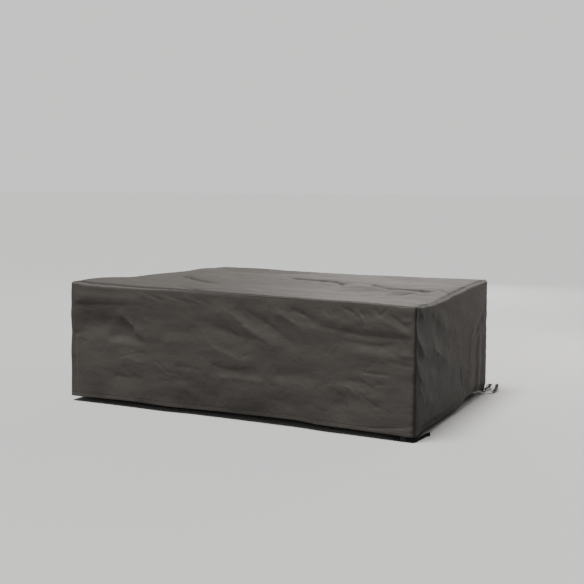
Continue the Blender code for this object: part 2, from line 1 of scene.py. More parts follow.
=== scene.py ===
from math import cos, pi, radians, sin

import bmesh
import bpy
import numpy as np
from mathutils import Matrix, Vector, noise
from mathutils.bvhtree import BVHTree


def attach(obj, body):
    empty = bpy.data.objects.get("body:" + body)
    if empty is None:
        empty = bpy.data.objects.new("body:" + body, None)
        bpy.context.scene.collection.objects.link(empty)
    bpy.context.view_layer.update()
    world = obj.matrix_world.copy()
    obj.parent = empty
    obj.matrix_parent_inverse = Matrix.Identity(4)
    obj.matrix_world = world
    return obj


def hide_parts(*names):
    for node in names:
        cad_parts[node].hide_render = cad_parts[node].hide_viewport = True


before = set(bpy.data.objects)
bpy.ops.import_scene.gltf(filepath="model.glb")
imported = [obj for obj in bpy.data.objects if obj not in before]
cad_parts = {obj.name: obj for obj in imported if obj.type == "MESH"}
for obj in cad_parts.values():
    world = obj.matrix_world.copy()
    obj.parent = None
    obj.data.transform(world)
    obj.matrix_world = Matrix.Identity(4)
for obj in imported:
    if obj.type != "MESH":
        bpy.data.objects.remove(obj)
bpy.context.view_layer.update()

# --------------------
# The studio: a plain pale floor under an even sky, and four lamps: a soft sun above, one before
# the long side, one beside the right end and one behind that grazes the top. The camera stands
# where the long side and the right end are seen.
ORIGIN_HEIGHT = 0.68571
GROUND = -0.028 - ORIGIN_HEIGHT
FLOOR_REACH, FLOOR_SIDES = 60.0, 96
SENSOR = 36.0
FOCAL_SHARE = 1024.75 / 584
FARTHEST_SEEN = 200.0
CAMERA_PLACE = (2.77889, -5.69182, 1.37416 - ORIGIN_HEIGHT)
CAMERA_TURN = 0.446557
CAMERA_DOWN = 0.116539
CAMERA_ROLL = 0.007806
SKY_SEEN = (0.93, 0.93, 0.92, 1)
SKY_LIGHT = (1.0, 0.985, 0.965, 1)
SKY_STRENGTH = 0.20
FLOOR_SEEN = (0.62, 0.62, 0.61, 1)
FLOOR_TURNED_DOWN = (0.20, 0.20, 0.20, 1)
LIGHTS = [
    # name, place, aim, kind, side of the square lamp or angle across the sun, power, colour
    ("overhead", (-0.50, -0.95, 3.4), (0.0, 0.0, 0.0), "SUN", 0.45, 4.2, (1.0, 1.0, 1.0)),
    ("front", (1.9, -6.3, 1.3), (0.5, -0.7, -0.3), "AREA", 3.0, 28.0, (1.0, 0.98, 0.95)),
    ("right", (2.0, 3.0, 1.2), (1.1, 0.6, -0.35), "AREA", 1.2, 26.0, (1.0, 0.93, 0.86)),
    ("behind", (-1.4, 6.5, 1.7), (0.0, 0.0, 0.0), "AREA", 3.0, 80.0, (1.0, 0.98, 0.96)),
]


def placed(name, data):
    """An object in the scene that holds the data."""
    item = bpy.data.objects.new(name, data)
    bpy.context.scene.collection.objects.link(item)
    return item


def mesh_piece(name, built, finish):
    """An object of one finish from a bmesh, which is then freed."""
    data = bpy.data.meshes.new(name)
    built.to_mesh(data)
    built.free()
    data.materials.append(bpy.data.materials[finish])
    return placed(name, data)


def set_inputs(tree, node, values):
    """Values, or outputs of other nodes, for a node's inputs."""
    for name, value in values.items():
        if isinstance(value, bpy.types.NodeSocket):
            tree.links.new(value, node.inputs[name])
        else:
            node.inputs[name].default_value = value


def output_of(tree, kind, output, values, **properties):
    """One output of a new node, whose properties are set before its inputs."""
    node = tree.nodes.new("ShaderNode" + kind)
    for name, value in properties.items():
        setattr(node, name, value)
    set_inputs(tree, node, values)
    return node.outputs[output]


def mixed(tree, share, one, other, **properties):
    """A colour between two others."""
    values = {"Factor": share, "A": one, "B": other}
    return output_of(tree, "Mix", "Result", values, data_type="RGBA", **properties)


def new_finish(name):
    """The node tree and the shader of a new material."""
    material = bpy.data.materials.new(name)
    material.use_nodes = True
    return material.node_tree, material.node_tree.nodes["Principled BSDF"]


camera = placed("camera", bpy.data.cameras.new("camera"))
camera.data.sensor_width = SENSOR
camera.data.lens = SENSOR * FOCAL_SHARE
camera.data.clip_end = FARTHEST_SEEN
turned = Matrix.Rotation(CAMERA_TURN, 4, "Z") @ Matrix.Rotation(pi / 2 - CAMERA_DOWN, 4, "X")
turned = turned @ Matrix.Rotation(CAMERA_ROLL, 4, "Z")
camera.matrix_world = Matrix.Translation(CAMERA_PLACE) @ turned
bpy.context.scene.camera = camera

world = bpy.data.worlds.new("studio")
world.use_nodes = True
air = world.node_tree
light = air.nodes["Background"]
set_inputs(air, light, {"Color": SKY_LIGHT, "Strength": SKY_STRENGTH})
backdrop = output_of(air, "Background", "Background", {"Color": SKY_SEEN})
ray = output_of(air, "LightPath", "Is Camera Ray", {})
either = {"Fac": ray, 1: light.outputs["Background"], 2: backdrop}
sky = output_of(air, "MixShader", "Shader", either)
set_inputs(air, air.nodes["World Output"], {"Surface": sky})
bpy.context.scene.world = world

for name, place, aim, kind, width, power, colour in LIGHTS:
    lamp = bpy.data.lights.new(name, kind)
    if kind == "SUN":
        lamp.angle = width
    else:
        lamp.size = width
    lamp.energy = power
    lamp.color = colour
    holder = placed(name, lamp)
    holder.visible_camera = False
    heading = (Vector(aim) - Vector(place)).to_track_quat("-Z", "Y").to_matrix().to_4x4()
    holder.matrix_world = Matrix.Translation(place) @ heading

tree, shader = new_finish("pale_floor")
ray = output_of(tree, "LightPath", "Is Camera Ray", {})
paint = mixed(tree, ray, FLOOR_TURNED_DOWN, FLOOR_SEEN)
set_inputs(tree, shader, {"Base Color": paint, "Roughness": 0.9})
ground = bmesh.new()
bmesh.ops.create_circle(ground, cap_ends=True, segments=FLOOR_SIDES, radius=FLOOR_REACH)
bmesh.ops.translate(ground, verts=ground.verts, vec=(0, 0, GROUND))
floor = mesh_piece("floor", ground, "pale_floor")

# --------------------
# The top panel: one rectangle of coated polyester over the furniture, lower toward its back left
# corner. It has the straight creases of its packing, and is sewn to the skirt all round.
LENGTH, DEPTH = 2.20, 1.40
ROUND_TRIP = 2 * (LENGTH + DEPTH)
CLOTH_THICK = 0.002
INSIDE = Vector((0, 0, -0.4))
TIGHTEST_CORNER = 0.006
TOP_FADE = 0.06
# The grid's finer cells beside a seam, and how far from it each finer part ends.
SEAM_CELLS, SEAM_NEAR, SEAM_FAR = 7, 0.008, 0.04
# The skirt runs anticlockwise from the left front corner. All heights are above its hem's level.
SIDES = [
    # name, distance along the skirt at which it starts, length, way in which X or Y runs along it
    ("front", 0.0, LENGTH, 1),
    ("right", LENGTH, DEPTH, 1),
    ("back", LENGTH + DEPTH, LENGTH, -1),
    ("left", 2 * LENGTH + DEPTH, DEPTH, -1),
]
CORNERS = [
    # x side, y side, radius of the vertical edge, in the order of the sides
    (-1, -1, 0.009),
    (1, -1, 0.010),
    (1, 1, 0.016),
    (-1, 1, 0.026),
]
TOP_EDGE = [
    # side, share of the side, height of the seam, radius of the roll
    ("front", 0.00, 0.709, 0.020),
    ("front", 0.07, 0.701, 0.024),
    ("front", 0.22, 0.697, 0.018),
    ("front", 0.35, 0.699, 0.010),
    ("front", 0.58, 0.697, 0.009),
    ("front", 0.85, 0.695, 0.009),
    ("right", 0.00, 0.688, 0.010),
    ("right", 0.10, 0.682, 0.013),
    ("right", 0.22, 0.676, 0.017),
    ("right", 0.36, 0.681, 0.020),
    ("right", 0.50, 0.692, 0.021),
    ("right", 0.75, 0.703, 0.020),
    ("back", 0.00, 0.705, 0.017),
    ("back", 0.22, 0.698, 0.018),
    ("back", 0.45, 0.693, 0.018),
    ("back", 0.63, 0.695, 0.018),
    ("back", 0.72, 0.700, 0.018),
    ("back", 0.86, 0.698, 0.020),
    ("back", 0.92, 0.685, 0.022),
    ("left", 0.00, 0.660, 0.024),
    ("left", 0.50, 0.678, 0.026),
    ("left", 0.88, 0.709, 0.024),
]
# The top seam's groove, its puckers, and the painted shade in it, which is wider where the cloth
# sinks toward it at the front and at the right.
SEAM_DEEP, SEAM_WIDE = 0.0026, 0.0036
PUFFED, FRONT_PUFFED, PUFFED_TO, PUFFED_FADE = 0.0045, 0.8, 0.45, 0.5
RIGHT_PUFFS, RIGHT_EVEN = [(2.0, 8.0, 31.0)], 0.7
FRONT_Y, RIGHT_X = -0.6, 1.0
PUCKER_START, PUCKER_REACH = 0.006, 0.026
PUCKERS = [
    # height, how many to the metre, seed
    (0.0016, 30.0, 5.0),
    (0.00096, 70.0, 9.0),
]
SEAM_DARK, SEAM_SUNK, FRONT_SUNK, RIGHT_SUNK, SUNK_TO = 0.007, 0.020, 1.5, 1.3, 0.55
# Strengths of the painted shade in the seam and in the creases, and how much paler the top is where it
# rises.
SEAM_SHADE, TOP_PALER_RAISED, CREASE_SHADE, CREASE_LIT = 0.9, 0.2, 0.5, 0.0015
TONE_RISE = 0.004
TOP_WANDER = [(0.008, 6.0, 2.0)]
TOP_WAVES = [
    # height, how many to the metre, seed
    (0.0026, 5.0, 13.0),
    (0.0014, 14.0, 17.0),
]
CRUMPLE_LONG, CRUMPLE_RISE, CRUMPLE_WIDE = (0.02, 0.10), (0.0005, 0.0019), (0.008, 0.018)
CRUMPLE_STRAY, CRUMPLE_ENDS_AT = 0.55, 0.2
CREASE_OFFSET = 0.7


def metres(rows):
    """Rows of millimetres as rows of metres."""
    return [tuple(value / 1000 for value in row) for row in rows]


TOP_FOLDS = metres([
    # x, y, to x, to y, half width, first rise, last rise, in mm
    (-710, 20, -370, -230, 32, -12, -10),
    (-660, 180, -300, -80, 60, 5, 4),
    (-50, 270, 160, 240, 30, -9, -6),
    (160, 240, 360, 120, 28, -5, -8),
    (540, 140, 720, 0, 30, -7, -11),
    (720, 0, 930, -10, 28, -9, -8),
    (930, -10, 660, -330, 60, -6, -5),
    (420, 100, 840, -60, 70, 6, 6),
    (-460, -450, -260, -590, 60, -9, -12),
    (-1000, -260, -620, -380, 110, -9, -7),
    (-580, 480, -200, 560, 120, -11, -9),
    (100, 20, 450, -120, 260, -11, -9),
    (620, 420, 860, 360, 150, -8, -7),
    (-900, 560, -800, 380, 80, 8, 6),
])
# A crease is listed where the slope above its crest or its valley shows.
TOP_CREASES = metres([
    # x, y, to x, to y, half width, first rise, last rise, in mm
    (-750, 50, -690, 20, 13, -1, -9),
    (-690, 20, -370, -218, 14, -9, -10),
    (-370, -218, -280, -270, 13, -10, -1),
    (-650, -40, -430, -200, 14, 3, 3),
    (-120, 295, -40, 290, 13, -1, -3.6),
    (-40, 290, 130, 270, 13, -3.6, -3.2),
    (130, 270, 262, 225, 13, -3.2, -3.6),
    (262, 225, 330, 150, 13, -3.6, -4),
    (330, 150, 380, 90, 13, -4, -1),
    (490, 210, 530, 170, 13, -1, -4),
    (530, 170, 600, 90, 13, -4, -6),
    (600, 90, 720, 5, 14, -6, -8),
    (720, 5, 890, 30, 13, -6, -6),
    (890, 30, 960, -70, 13, -6, -1),
    (1000, 60, 1050, -20, 12, -4, -4),
    (762, -215, 880, -80, 16, -4, -4),
    (-444, -480, -268, -568, 18, -4, -6),
])


def smooth_step(share):
    share = np.clip(share, 0.0, 1.0)
    return share * share * (3 - 2 * share)


def bell(away, width, high=1.0):
    """A rounded bump, high at 0 and all but gone at twice its width."""
    return high * np.exp(-((away / width) ** 2))


def edge_at(table, column, s):
    """One measure of an edge at distances s along the skirt, joined smoothly from row to row."""
    sides = {name: (start, length) for name, start, length, _ in SIDES}
    starts = np.array([sides[row[0]][0] + row[1] * sides[row[0]][1] for row in table])
    starts = np.append(starts, starts[0] + ROUND_TRIP)
    values = np.array([row[column] for row in [*table, table[0]]])
    s = s % ROUND_TRIP
    low = np.clip(np.searchsorted(starts, s, side="right") - 1, 0, len(table) - 1)
    share = smooth_step((s - starts[low]) / (starts[low + 1] - starts[low]))
    return values[low] + (values[low + 1] - values[low]) * share


def on_plan(s, inset):
    """X, Y and the outward direction at distances s along the skirt, inset from its face."""
    s = s % ROUND_TRIP
    x, y, angle = np.zeros(s.shape), np.zeros(s.shape), np.zeros(s.shape)
    for number, (_, start, length, _) in enumerate(SIDES):
        along = s - start
        ends = []
        for corner in (number, number + 1):
            x_side, y_side, radius = CORNERS[corner % 4]
            tight = np.maximum(radius - inset, TIGHTEST_CORNER)
            middle_x = x_side * (LENGTH / 2 - inset - tight)
            middle_y = y_side * (DEPTH / 2 - inset - tight)
            ends.append((radius, tight, middle_x, middle_y))
        (here, *first), (there, *last) = ends
        near = (along >= 0) & (along < here)
        far = (along > length - there) & (along < length)
        straight = (along >= here) & (along <= length - there)
        outward = pi + (number + 1) * pi / 2
        turn = np.where(near, (along / here - 1) * pi / 4, 0.0)
        turn = np.where(far, (along - length + there) / there * pi / 4, turn)
        share = np.clip((along - here) / (length - here - there), 0, 1)
        tight, middle_x, middle_y = (a + (b - a) * share for a, b in zip(first, last, strict=True))
        on_side = near | far | straight
        angle = np.where(on_side, outward + turn, angle)
        x = np.where(on_side, middle_x + tight * np.cos(outward + turn), x)
        y = np.where(on_side, middle_y + tight * np.sin(outward + turn), y)
    return x, y, np.cos(angle), np.sin(angle)


def round_crest(away):
    return np.exp(-(away**2))


def sharp_crest(away):
    return np.exp(1 - np.sqrt(1 + 4 * away**2))


def fold_rise(folds, a, b, crest=round_crest, offset=0.0):
    """Sum of ridges and troughs, each from one point of a panel to another."""
    rise = np.zeros(a.shape)
    for a0, b0, a1, b1, half_width, start, end in folds:
        run_a, run_b = a1 - a0, b1 - b0
        run = np.hypot(run_a, run_b)
        way = offset * half_width / run * (1 if run_a > 0 else -1)
        here_a, here_b = a - a0 - run_b * way, b - b0 + run_a * way
        share = np.clip((here_a * run_a + here_b * run_b) / run**2, 0, 1)
        away = np.hypot(here_a - share * run_a, here_b - share * run_b) / half_width
        rise += (start + (end - start) * share) * crest(away)
    return rise


def crumples(count, seed, area, lean):
    """Rows of small creases strewn over an area of a panel, most of them near the lean."""
    draw = np.random.default_rng(seed)
    rows = []
    for _ in range(count):
        a, b = draw.uniform(area[0], area[1]), draw.uniform(area[2], area[3])
        angle = lean + draw.normal(0.0, CRUMPLE_STRAY)
        run = draw.uniform(*CRUMPLE_LONG)
        rise = draw.uniform(*CRUMPLE_RISE) * draw.choice((-1, 1))
        to_a, to_b = a + run * np.cos(angle), b + run * np.sin(angle)
        rows.append((a, b, to_a, to_b, draw.uniform(*CRUMPLE_WIDE), rise, rise * CRUMPLE_ENDS_AT))
    return rows


def uneven(x, y, z, scale, seed):
    """Smooth unevenness in space, between about -1 and 1."""
    places = zip(x.ravel() * scale, y.ravel() * scale, z.ravel() * scale + seed, strict=True)
    return np.array([noise.noise(place) for place in places]).reshape(x.shape) * 1.6


def waves(rows, x, y, z):
    """Unevenness of several sizes, added up."""
    return sum(high * uneven(x, y, z, scale, seed) for high, scale, seed in rows)


def puffed_right(x, y):
    """How much the cloth is puffed up beside the right end's seam, from 0 to 1."""
    return np.clip(RIGHT_EVEN + waves(RIGHT_PUFFS, x, y, np.zeros(x.shape)), 0, 1)


def seam_depth(x, y):
    """How deep the top seam lies: deeper where the cloth is puffed up beside it."""
    at_front = (y < FRONT_Y) * FRONT_PUFFED * smooth_step((PUFFED_TO - x) / PUFFED_FADE)
    return SEAM_DEEP + PUFFED * np.maximum(at_front, (x > RIGHT_X) * puffed_right(x, y))


def seam_rise(away, x, y, z, deep=SEAM_DEEP):
    """A sewn seam: the groove along it and the puckers beside it. away is the distance to it."""
    fading = bell(away, PUCKER_REACH) * (1 - bell(away, PUCKER_START))
    return fading * waves(PUCKERS, x, y, z) - bell(away, SEAM_WIDE / SEAM_DEEP * deep, deep)


def spread(stops):
    """Grid places from rows of (value, cells to the next)."""
    places = []
    for (low, cells), (high, _) in zip(stops, stops[1:], strict=False):
        places.extend(np.linspace(low, high, cells, endpoint=False))
    return np.array([*places, stops[-1][0]])


def edge_spread(start, end, cells):
    """Places across a panel, closer together beside the seams at its two ends."""
    stops = [(start, SEAM_CELLS), (start + SEAM_NEAR, SEAM_CELLS), (start + SEAM_FAR, cells)]
    stops += [(end - SEAM_FAR, SEAM_CELLS), (end - SEAM_NEAR, SEAM_CELLS), (end, 0)]
    return spread(stops)


def cloth_panel(name, across, along, shape):
    """A sheet of cloth on a grid, with its flat pattern as UVs and its tone: paler in places, partly
    as a painted highlight, and darker with painted shade."""
    cells_a, cells_b = len(across) - 1, len(along) - 1
    grid = bmesh.new()
    bmesh.ops.create_grid(grid, x_segments=cells_a, y_segments=cells_b, size=0.5)
    panel = mesh_piece(name, grid, "taupe_polyester")
    data = panel.data
    flat_place = np.empty(len(data.vertices) * 3)
    data.vertices.foreach_get("co", flat_place)
    flat_place = flat_place.reshape(-1, 3)
    i = np.rint((flat_place[:, 0] + 0.5) * cells_a).astype(int)
    j = np.rint((flat_place[:, 1] + 0.5) * cells_b).astype(int)
    grid_a, grid_b = np.meshgrid(across, along, indexing="ij")
    points, tone = shape(grid_a, grid_b)
    data.vertices.foreach_set("co", points[i, j].ravel())
    marked = data.attributes.new("tone", "FLOAT", "POINT")
    marked.data.foreach_set("value", tone[i, j].astype(np.float32))
    steps_a = np.linalg.norm(np.diff(points, axis=0), axis=-1).mean(axis=1)
    steps_b = np.linalg.norm(np.diff(points, axis=1), axis=-1).mean(axis=0)
    flat_a, flat_b = np.append(0, steps_a.cumsum()), np.append(0, steps_b.cumsum())
    corner = np.empty(len(data.loops), dtype=int)
    data.loops.foreach_get("vertex_index", corner)
    pattern = np.stack([flat_a[i[corner]], flat_b[j[corner]]], axis=-1)
    data.uv_layers.new(name="flat_pattern").data.foreach_set("uv", pattern.ravel())
    middle = data.polygons[len(data.polygons) // 2]
    if middle.normal.dot(middle.center - INSIDE) < 0:
        data.flip_normals()
    data.shade_smooth()
    body = panel.modifiers.new("cloth", "SOLIDIFY")
    body.thickness = CLOTH_THICK
    body.offset = -1.0
    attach(panel, "root")
    return panel


CLOTH_DARK = (0.066, 0.058, 0.051, 1)
CLOTH_LIGHT = (0.088, 0.078, 0.069, 1)
# The paler cloth of a high tone, partly a painted highlight, and the painted shade of a low one.
CLOTH_PALER = (0.122, 0.110, 0.098, 1)
CLOTH_PAINTED_SHADE = (0.012, 0.011, 0.010, 1)
WEAVE_SCALE = 620.0


def patches(tree, place, scale, detail, **more):
    """An uneven value that changes from place to place."""
    values = {"Vector": place, "Scale": scale, "Detail": detail, **more}
    return output_of(tree, "TexNoise", "Fac", values)


def eased(tree, value, at_0, at_1):
    """A value turned evenly into one between two others."""
    values = {"Value": value, "To Min": at_0, "To Max": at_1}
    return output_of(tree, "MapRange", "Result", values)


def bumped(tree, strength, distance, height, **under):
    """A normal raised by a height, over another normal where one is given."""
    values = {"Strength": strength, "Distance": distance, "Height": height, **under}
    return output_of(tree, "Bump", "Normal", values)


def woven(name, scale, cross_scale):
    """A group with the height of a plain weave, and its uneven threads, in a flat pattern."""
    group = bpy.data.node_groups.new(name, "ShaderNodeTree")
    group.interface.new_socket("Pattern", in_out="INPUT", socket_type="NodeSocketVector")
    for output in ("Height", "Threads"):
        group.interface.new_socket(output, in_out="OUTPUT", socket_type="NodeSocketFloat")
    pattern = group.nodes.new("NodeGroupInput").outputs["Pattern"]
    rows = []
    for direction, row_scale in (("X", scale), ("Y", cross_scale)):
        values = {"Vector": pattern, "Scale": row_scale, "Distortion": 0.8, "Detail": 1.0}
        rows.append(output_of(group, "TexWave", "Fac", values, bands_direction=direction))
    crossed = output_of(group, "Math", "Value", {0: rows[0], 1: rows[1]}, operation="MULTIPLY")
    along = output_of(group, "Mapping", "Vector", {"Vector": pattern, "Scale": (1.0, 0.10, 1.0)})
    made = {"Height": crossed, "Threads": patches(group, along, 240.0, 3.0)}
    set_inputs(group, group.nodes.new("NodeGroupOutput"), made)
    return group


def cover_cloth():
    """Matt taupe polyester: a fine plain weave, mottled, paler where its tone is high, partly as a
    painted highlight, and darker with painted shade where it is low.
    """
    tree, shader = new_finish("taupe_polyester")
    pattern = output_of(tree, "UVMap", "UV", {}, uv_map="flat_pattern")
    weave = woven("plain_weave", WEAVE_SCALE, WEAVE_SCALE)
    weave = output_of(tree, "Group", "Height", {"Pattern": pattern}, node_tree=weave)
    place = output_of(tree, "TexCoord", "Object", {})
    mottle = patches(tree, place, 4.0, 8.0, Roughness=0.62)
    colour = mixed(tree, mottle, CLOTH_DARK, CLOTH_LIGHT)
    colour = mixed(tree, 0.10, colour, weave.node.outputs["Threads"], blend_type="OVERLAY")
    marked = output_of(tree, "Attribute", "Fac", {}, attribute_name="tone")
    # A positive tone turns the cloth paler, a negative one paints shade on it.
    for sign, other in ((1.0, CLOTH_PALER), (-1.0, CLOTH_PAINTED_SHADE)):
        share = {0: marked, 1: sign}
        share = output_of(tree, "Math", "Value", share, operation="MULTIPLY", use_clamp=True)
        colour = mixed(tree, share, colour, other)
    level = output_of(tree, "Mapping", "Vector", {"Vector": place, "Scale": (0.55, 0.55, 1.0)})
    soft = bumped(tree, 0.32, 0.005, patches(tree, level, 52.0, 5.0, Roughness=0.55))
    fine = bumped(tree, 0.4, 0.0003, weave, Normal=soft)
    rough = eased(tree, mottle, 0.68, 0.52)
    set_inputs(tree, shader, {"Base Color": colour, "Roughness": rough, "Normal": fine})
    sheen = {"Specular IOR Level": 0.45, "Sheen Weight": 0.10, "Sheen Roughness": 0.45}
    set_inputs(tree, shader, sheen)


cover_cloth()


def top_edge_point(s):
    top, roll = edge_at(TOP_EDGE, 2, s), edge_at(TOP_EDGE, 3, s)
    x, y, _, _ = on_plan(s, roll)
    return np.stack([x, y, top], axis=-1)


def top_sheet(s, t):
    """Points of the top's upper face, spanned between its four edges, and their tone: paler where it
    rises, with painted shade along the seam and in the creases.
    """
    share_s, share_t = (s / LENGTH)[..., None], (t / DEPTH)[..., None]
    back_start, left_start = LENGTH + DEPTH, 2 * LENGTH + DEPTH
    front_edge, back_edge = top_edge_point(s), top_edge_point(left_start - s)
    left_edge, right_edge = top_edge_point(ROUND_TRIP - t), top_edge_point(LENGTH + t)
    corners = [top_edge_point(np.full(s.shape, at)) for at in (0.0, LENGTH, left_start, back_start)]
    near = corners[0] + (corners[1] - corners[0]) * share_s
    far = corners[2] + (corners[3] - corners[2]) * share_s
    points = front_edge + (back_edge - front_edge) * share_t
    points += left_edge + (right_edge - left_edge) * share_s - near - (far - near) * share_t
    x, y, flat = points[..., 0], points[..., 1], np.zeros(s.shape)
    to_edge = [y - front_edge[..., 1], back_edge[..., 1] - y]
    to_edge += [x - left_edge[..., 0], right_edge[..., 0] - x]
    to_seam = np.min(to_edge, axis=0)
    wander = waves(TOP_WANDER, x, y, flat)
    here = (x + wander, y - wander)
    rise = fold_rise(TOP_FOLDS, *here)
    rise += fold_rise(TOP_CREASES + TOP_CRUMPLES, *here, sharp_crest, CREASE_OFFSET)
    rise += waves(TOP_WAVES, x, y, flat)
    points[..., 2] += rise * smooth_step(to_seam / TOP_FADE)
    points[..., 2] += seam_rise(to_seam, x, y, flat, seam_depth(x, y))
    points[..., 2] -= ORIGIN_HEIGHT
    sunk = FRONT_SUNK * (to_edge[0] <= to_seam) * smooth_step((SUNK_TO - x) / PUFFED_FADE)
    sunk += RIGHT_SUNK * (to_edge[3] <= to_seam) * puffed_right(x, y)
    # Paler where the top rises, and painted shade along the seam.
    tone = TOP_PALER_RAISED * np.clip(rise / TONE_RISE, 0, 1)
    tone -= bell(to_seam, SEAM_DARK + SEAM_SUNK * sunk, SEAM_SHADE)
    # Painted shade in each crease's valley and on the slope above it.
    above = fold_rise(TOP_CREASES, *here)
    return points, tone - CREASE_SHADE * np.clip((-above - CREASE_LIT) / TONE_RISE, 0, 1)


TOP_CRUMPLES = crumples(130, 4, (-1.05, 1.05, -0.66, 0.66), -0.25)
top_across = edge_spread(0.0, LENGTH, 262)
top_deep = edge_spread(0.0, DEPTH, 140)
top = cloth_panel("top_cloth", top_across, top_deep, top_sheet)
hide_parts("top_panel")

# --------------------
# The front panel: the long side in view, cut flat, hemmed below and sewn to the top and to both
# ends. Slack makes long soft folds that fall to the right, with fine creases between them.
FLARE = 0.010
DRAWN_TALL = 0.045
FOLD_FADE = 0.09
FOLD_REACH = 0.15
ROLL_SHARE = 0.045
SKIRT_WANDER = [(0.006, 8.0, 3.0)]
SKIRT_WAVES = [
    # height, how many to the metre, seed
    (0.0022, 9.0, 11.0),
    (0.0006, 26.0, 19.0),
]
WAVES_LEVEL = 0.5
WELT, WELT_DEEP, WELT_WIDE = 0.013, 0.0009, 0.0022
HEM_STITCHED, HEM_GROOVE = 0.022, 0.25
# The left end's seam shows on the front, and has a painted highlight round a middle height.
FRONT_SEAM, FRONT_SEAM_GROOVE = 0.042, 0.4
HIGHLIGHT_MIDDLE, HIGHLIGHT_TALL = 0.26, 0.15
# Tones that fade out from a line: how wide, and how strong. The roll and the hem's edge have a painted
# highlight; the welt, the end's front part and the cloth near the hem have painted shade.
ROLL_PAINTED_HIGHLIGHT, HEM_PAINTED_HIGHLIGHT, FRONT_SEAM_PAINTED_HIGHLIGHT = (0.014, 0.25), (0.002, 0.2), (0.006, 0.45)
WELT_SHADE, END_SHADE, LOW_SHADE = (0.0032, 0.5), (0.55, 0.17), (0.10, 0.24)
LOW_EVEN, LOW_PATCHES = 0.5, [(1.6, 5.0, 23.0)]
# The right front corner's seam has a line of painted shade, and below its top a wedge of painted shade
# lies on the end panel beside it.
CORNER_STIFF, CORNER_DARK, CORNER_SHADE = (0.032, 0.85), (0.012, 0.044), 0.6
PINCH_LOW, PINCH_TALL, PINCH_WIDE, PINCH_SHADE = 0.620, 0.070, (0.075, 0.145), 0.80
PINCH_SIDE_FADE, PINCH_END_FADE = 0.03, 0.04
HEM_EDGE = [
    # side, share of the side, height of the hem, how far it is drawn in
    ("front", 0.00, 0.004, 0.000),
    ("front", 0.22, 0.011, 0.000),
    ("front", 0.35, 0.006, 0.000),
    ("front", 0.50, 0.012, 0.002),
    ("front", 0.67, 0.016, 0.000),
    ("front", 0.76, 0.009, 0.000),
    ("front", 0.94, 0.006, 0.000),
    ("right", 0.00, 0.002, 0.000),
    ("right", 0.10, 0.000, 0.012),
    ("right", 0.33, -0.001, 0.008),
    ("right", 0.58, 0.009, 0.000),
    ("right", 0.69, 0.029, 0.004),
    ("right", 0.80, 0.024, 0.010),
    ("right", 0.93, 0.003, 0.018),
    ("back", 0.00, -0.004, 0.008),
    ("back", 0.12, 0.008, 0.002),
    ("back", 0.40, 0.004, 0.000),
    ("back", 0.66, 0.011, 0.000),
    ("back", 0.90, 0.005, 0.000),
    ("left", 0.10, 0.003, 0.000),
    ("left", 0.45, 0.010, 0.002),
    ("left", 0.80, 0.003, 0.000),
]
WELT_SHOWS = [
    # side, share of the side, how deep the stitched line under the top seam lies
    ("front", 0.00, 0.2),
    ("front", 0.34, 0.4),
    ("front", 0.40, 1.6),
    ("front", 0.66, 1.4),
    ("front", 0.74, 0.4),
    ("right", 0.50, 0.5),
    ("back", 0.50, 0.4),
    ("left", 0.50, 0.4),
]
FOLDS = {}
FOLDS["front"] = metres([
    # x, height, to x, to height, half width, first rise, last rise, in mm
    (-1020, 622, -620, 620, 40, 6.8, 3.4),
    (-960, 468, -740, 454, 100, -17, -10.5),
    (-970, 448, -900, 442, 60, -7, -6),
    (-860, 462, -680, 412, 56, -7, -5.2),
    (-720, 446, -600, 420, 55, -6.8, -3.4),
    (-1000, 330, -700, 330, 80, -5, -3.7),
    (-730, 520, -610, 428, 34, 5.6, 4.6),
    (-630, 430, -500, 385, 30, 3.4, 2.6),
    (-800, 392, -470, 380, 26, -6.8, -3.4),
    (-710, 268, -590, 240, 34, 3.7, 3.1),
    (-510, 275, -380, 195, 34, 3.1, 2.5),
    (-410, 455, -200, 460, 34, -4.3, -3.1),
    (-140, 372, 100, 312, 36, 3.7, 3.1),
    (-80, 246, 160, 250, 34, -4.3, -3.7),
    (-60, 575, 270, 425, 48, 5.6, 4.2),
    (60, 608, 380, 448, 40, -4.6, -3.8),
    (-200, 520, 120, 440, 40, -5, -3.7),
    (310, 598, 470, 518, 30, 4.4, 2),
    (400, 620, 520, 576, 26, -3.6, -3),
    (520, 572, 720, 530, 28, -2, -2.6),
    (720, 524, 1060, 512, 22, -2.6, -2.6),
    (600, 575, 900, 560, 40, 3.7, 3.7),
    (880, 605, 1050, 540, 30, 3.7, 2.5),
    (680, 470, 980, 462, 30, -3.1, -3.7),
    (800, 420, 1070, 425, 34, 3.1, 3.1),
    (740, 262, 920, 248, 28, -2.6, -2.2),
    (680, 220, 900, 185, 32, 3.7, 3.1),
    (670, 130, 700, 85, 44, -5, -4),
    (330, 262, 500, 262, 36, -5, -3.7),
    (260, 110, 340, 112, 34, -3, -3),
    (-800, 150, -600, 140, 54, -5, -3.7),
    (-320, 190, -100, 100, 50, -5.6, -5.6),
    (-260, 0, 420, 5, 110, -16, -16),
    (-950, 0, -600, 0, 80, -3.1, -3.7),
    (880, 6, 1070, 14, 34, 2.5, 4.3),
])
CREASES = {}
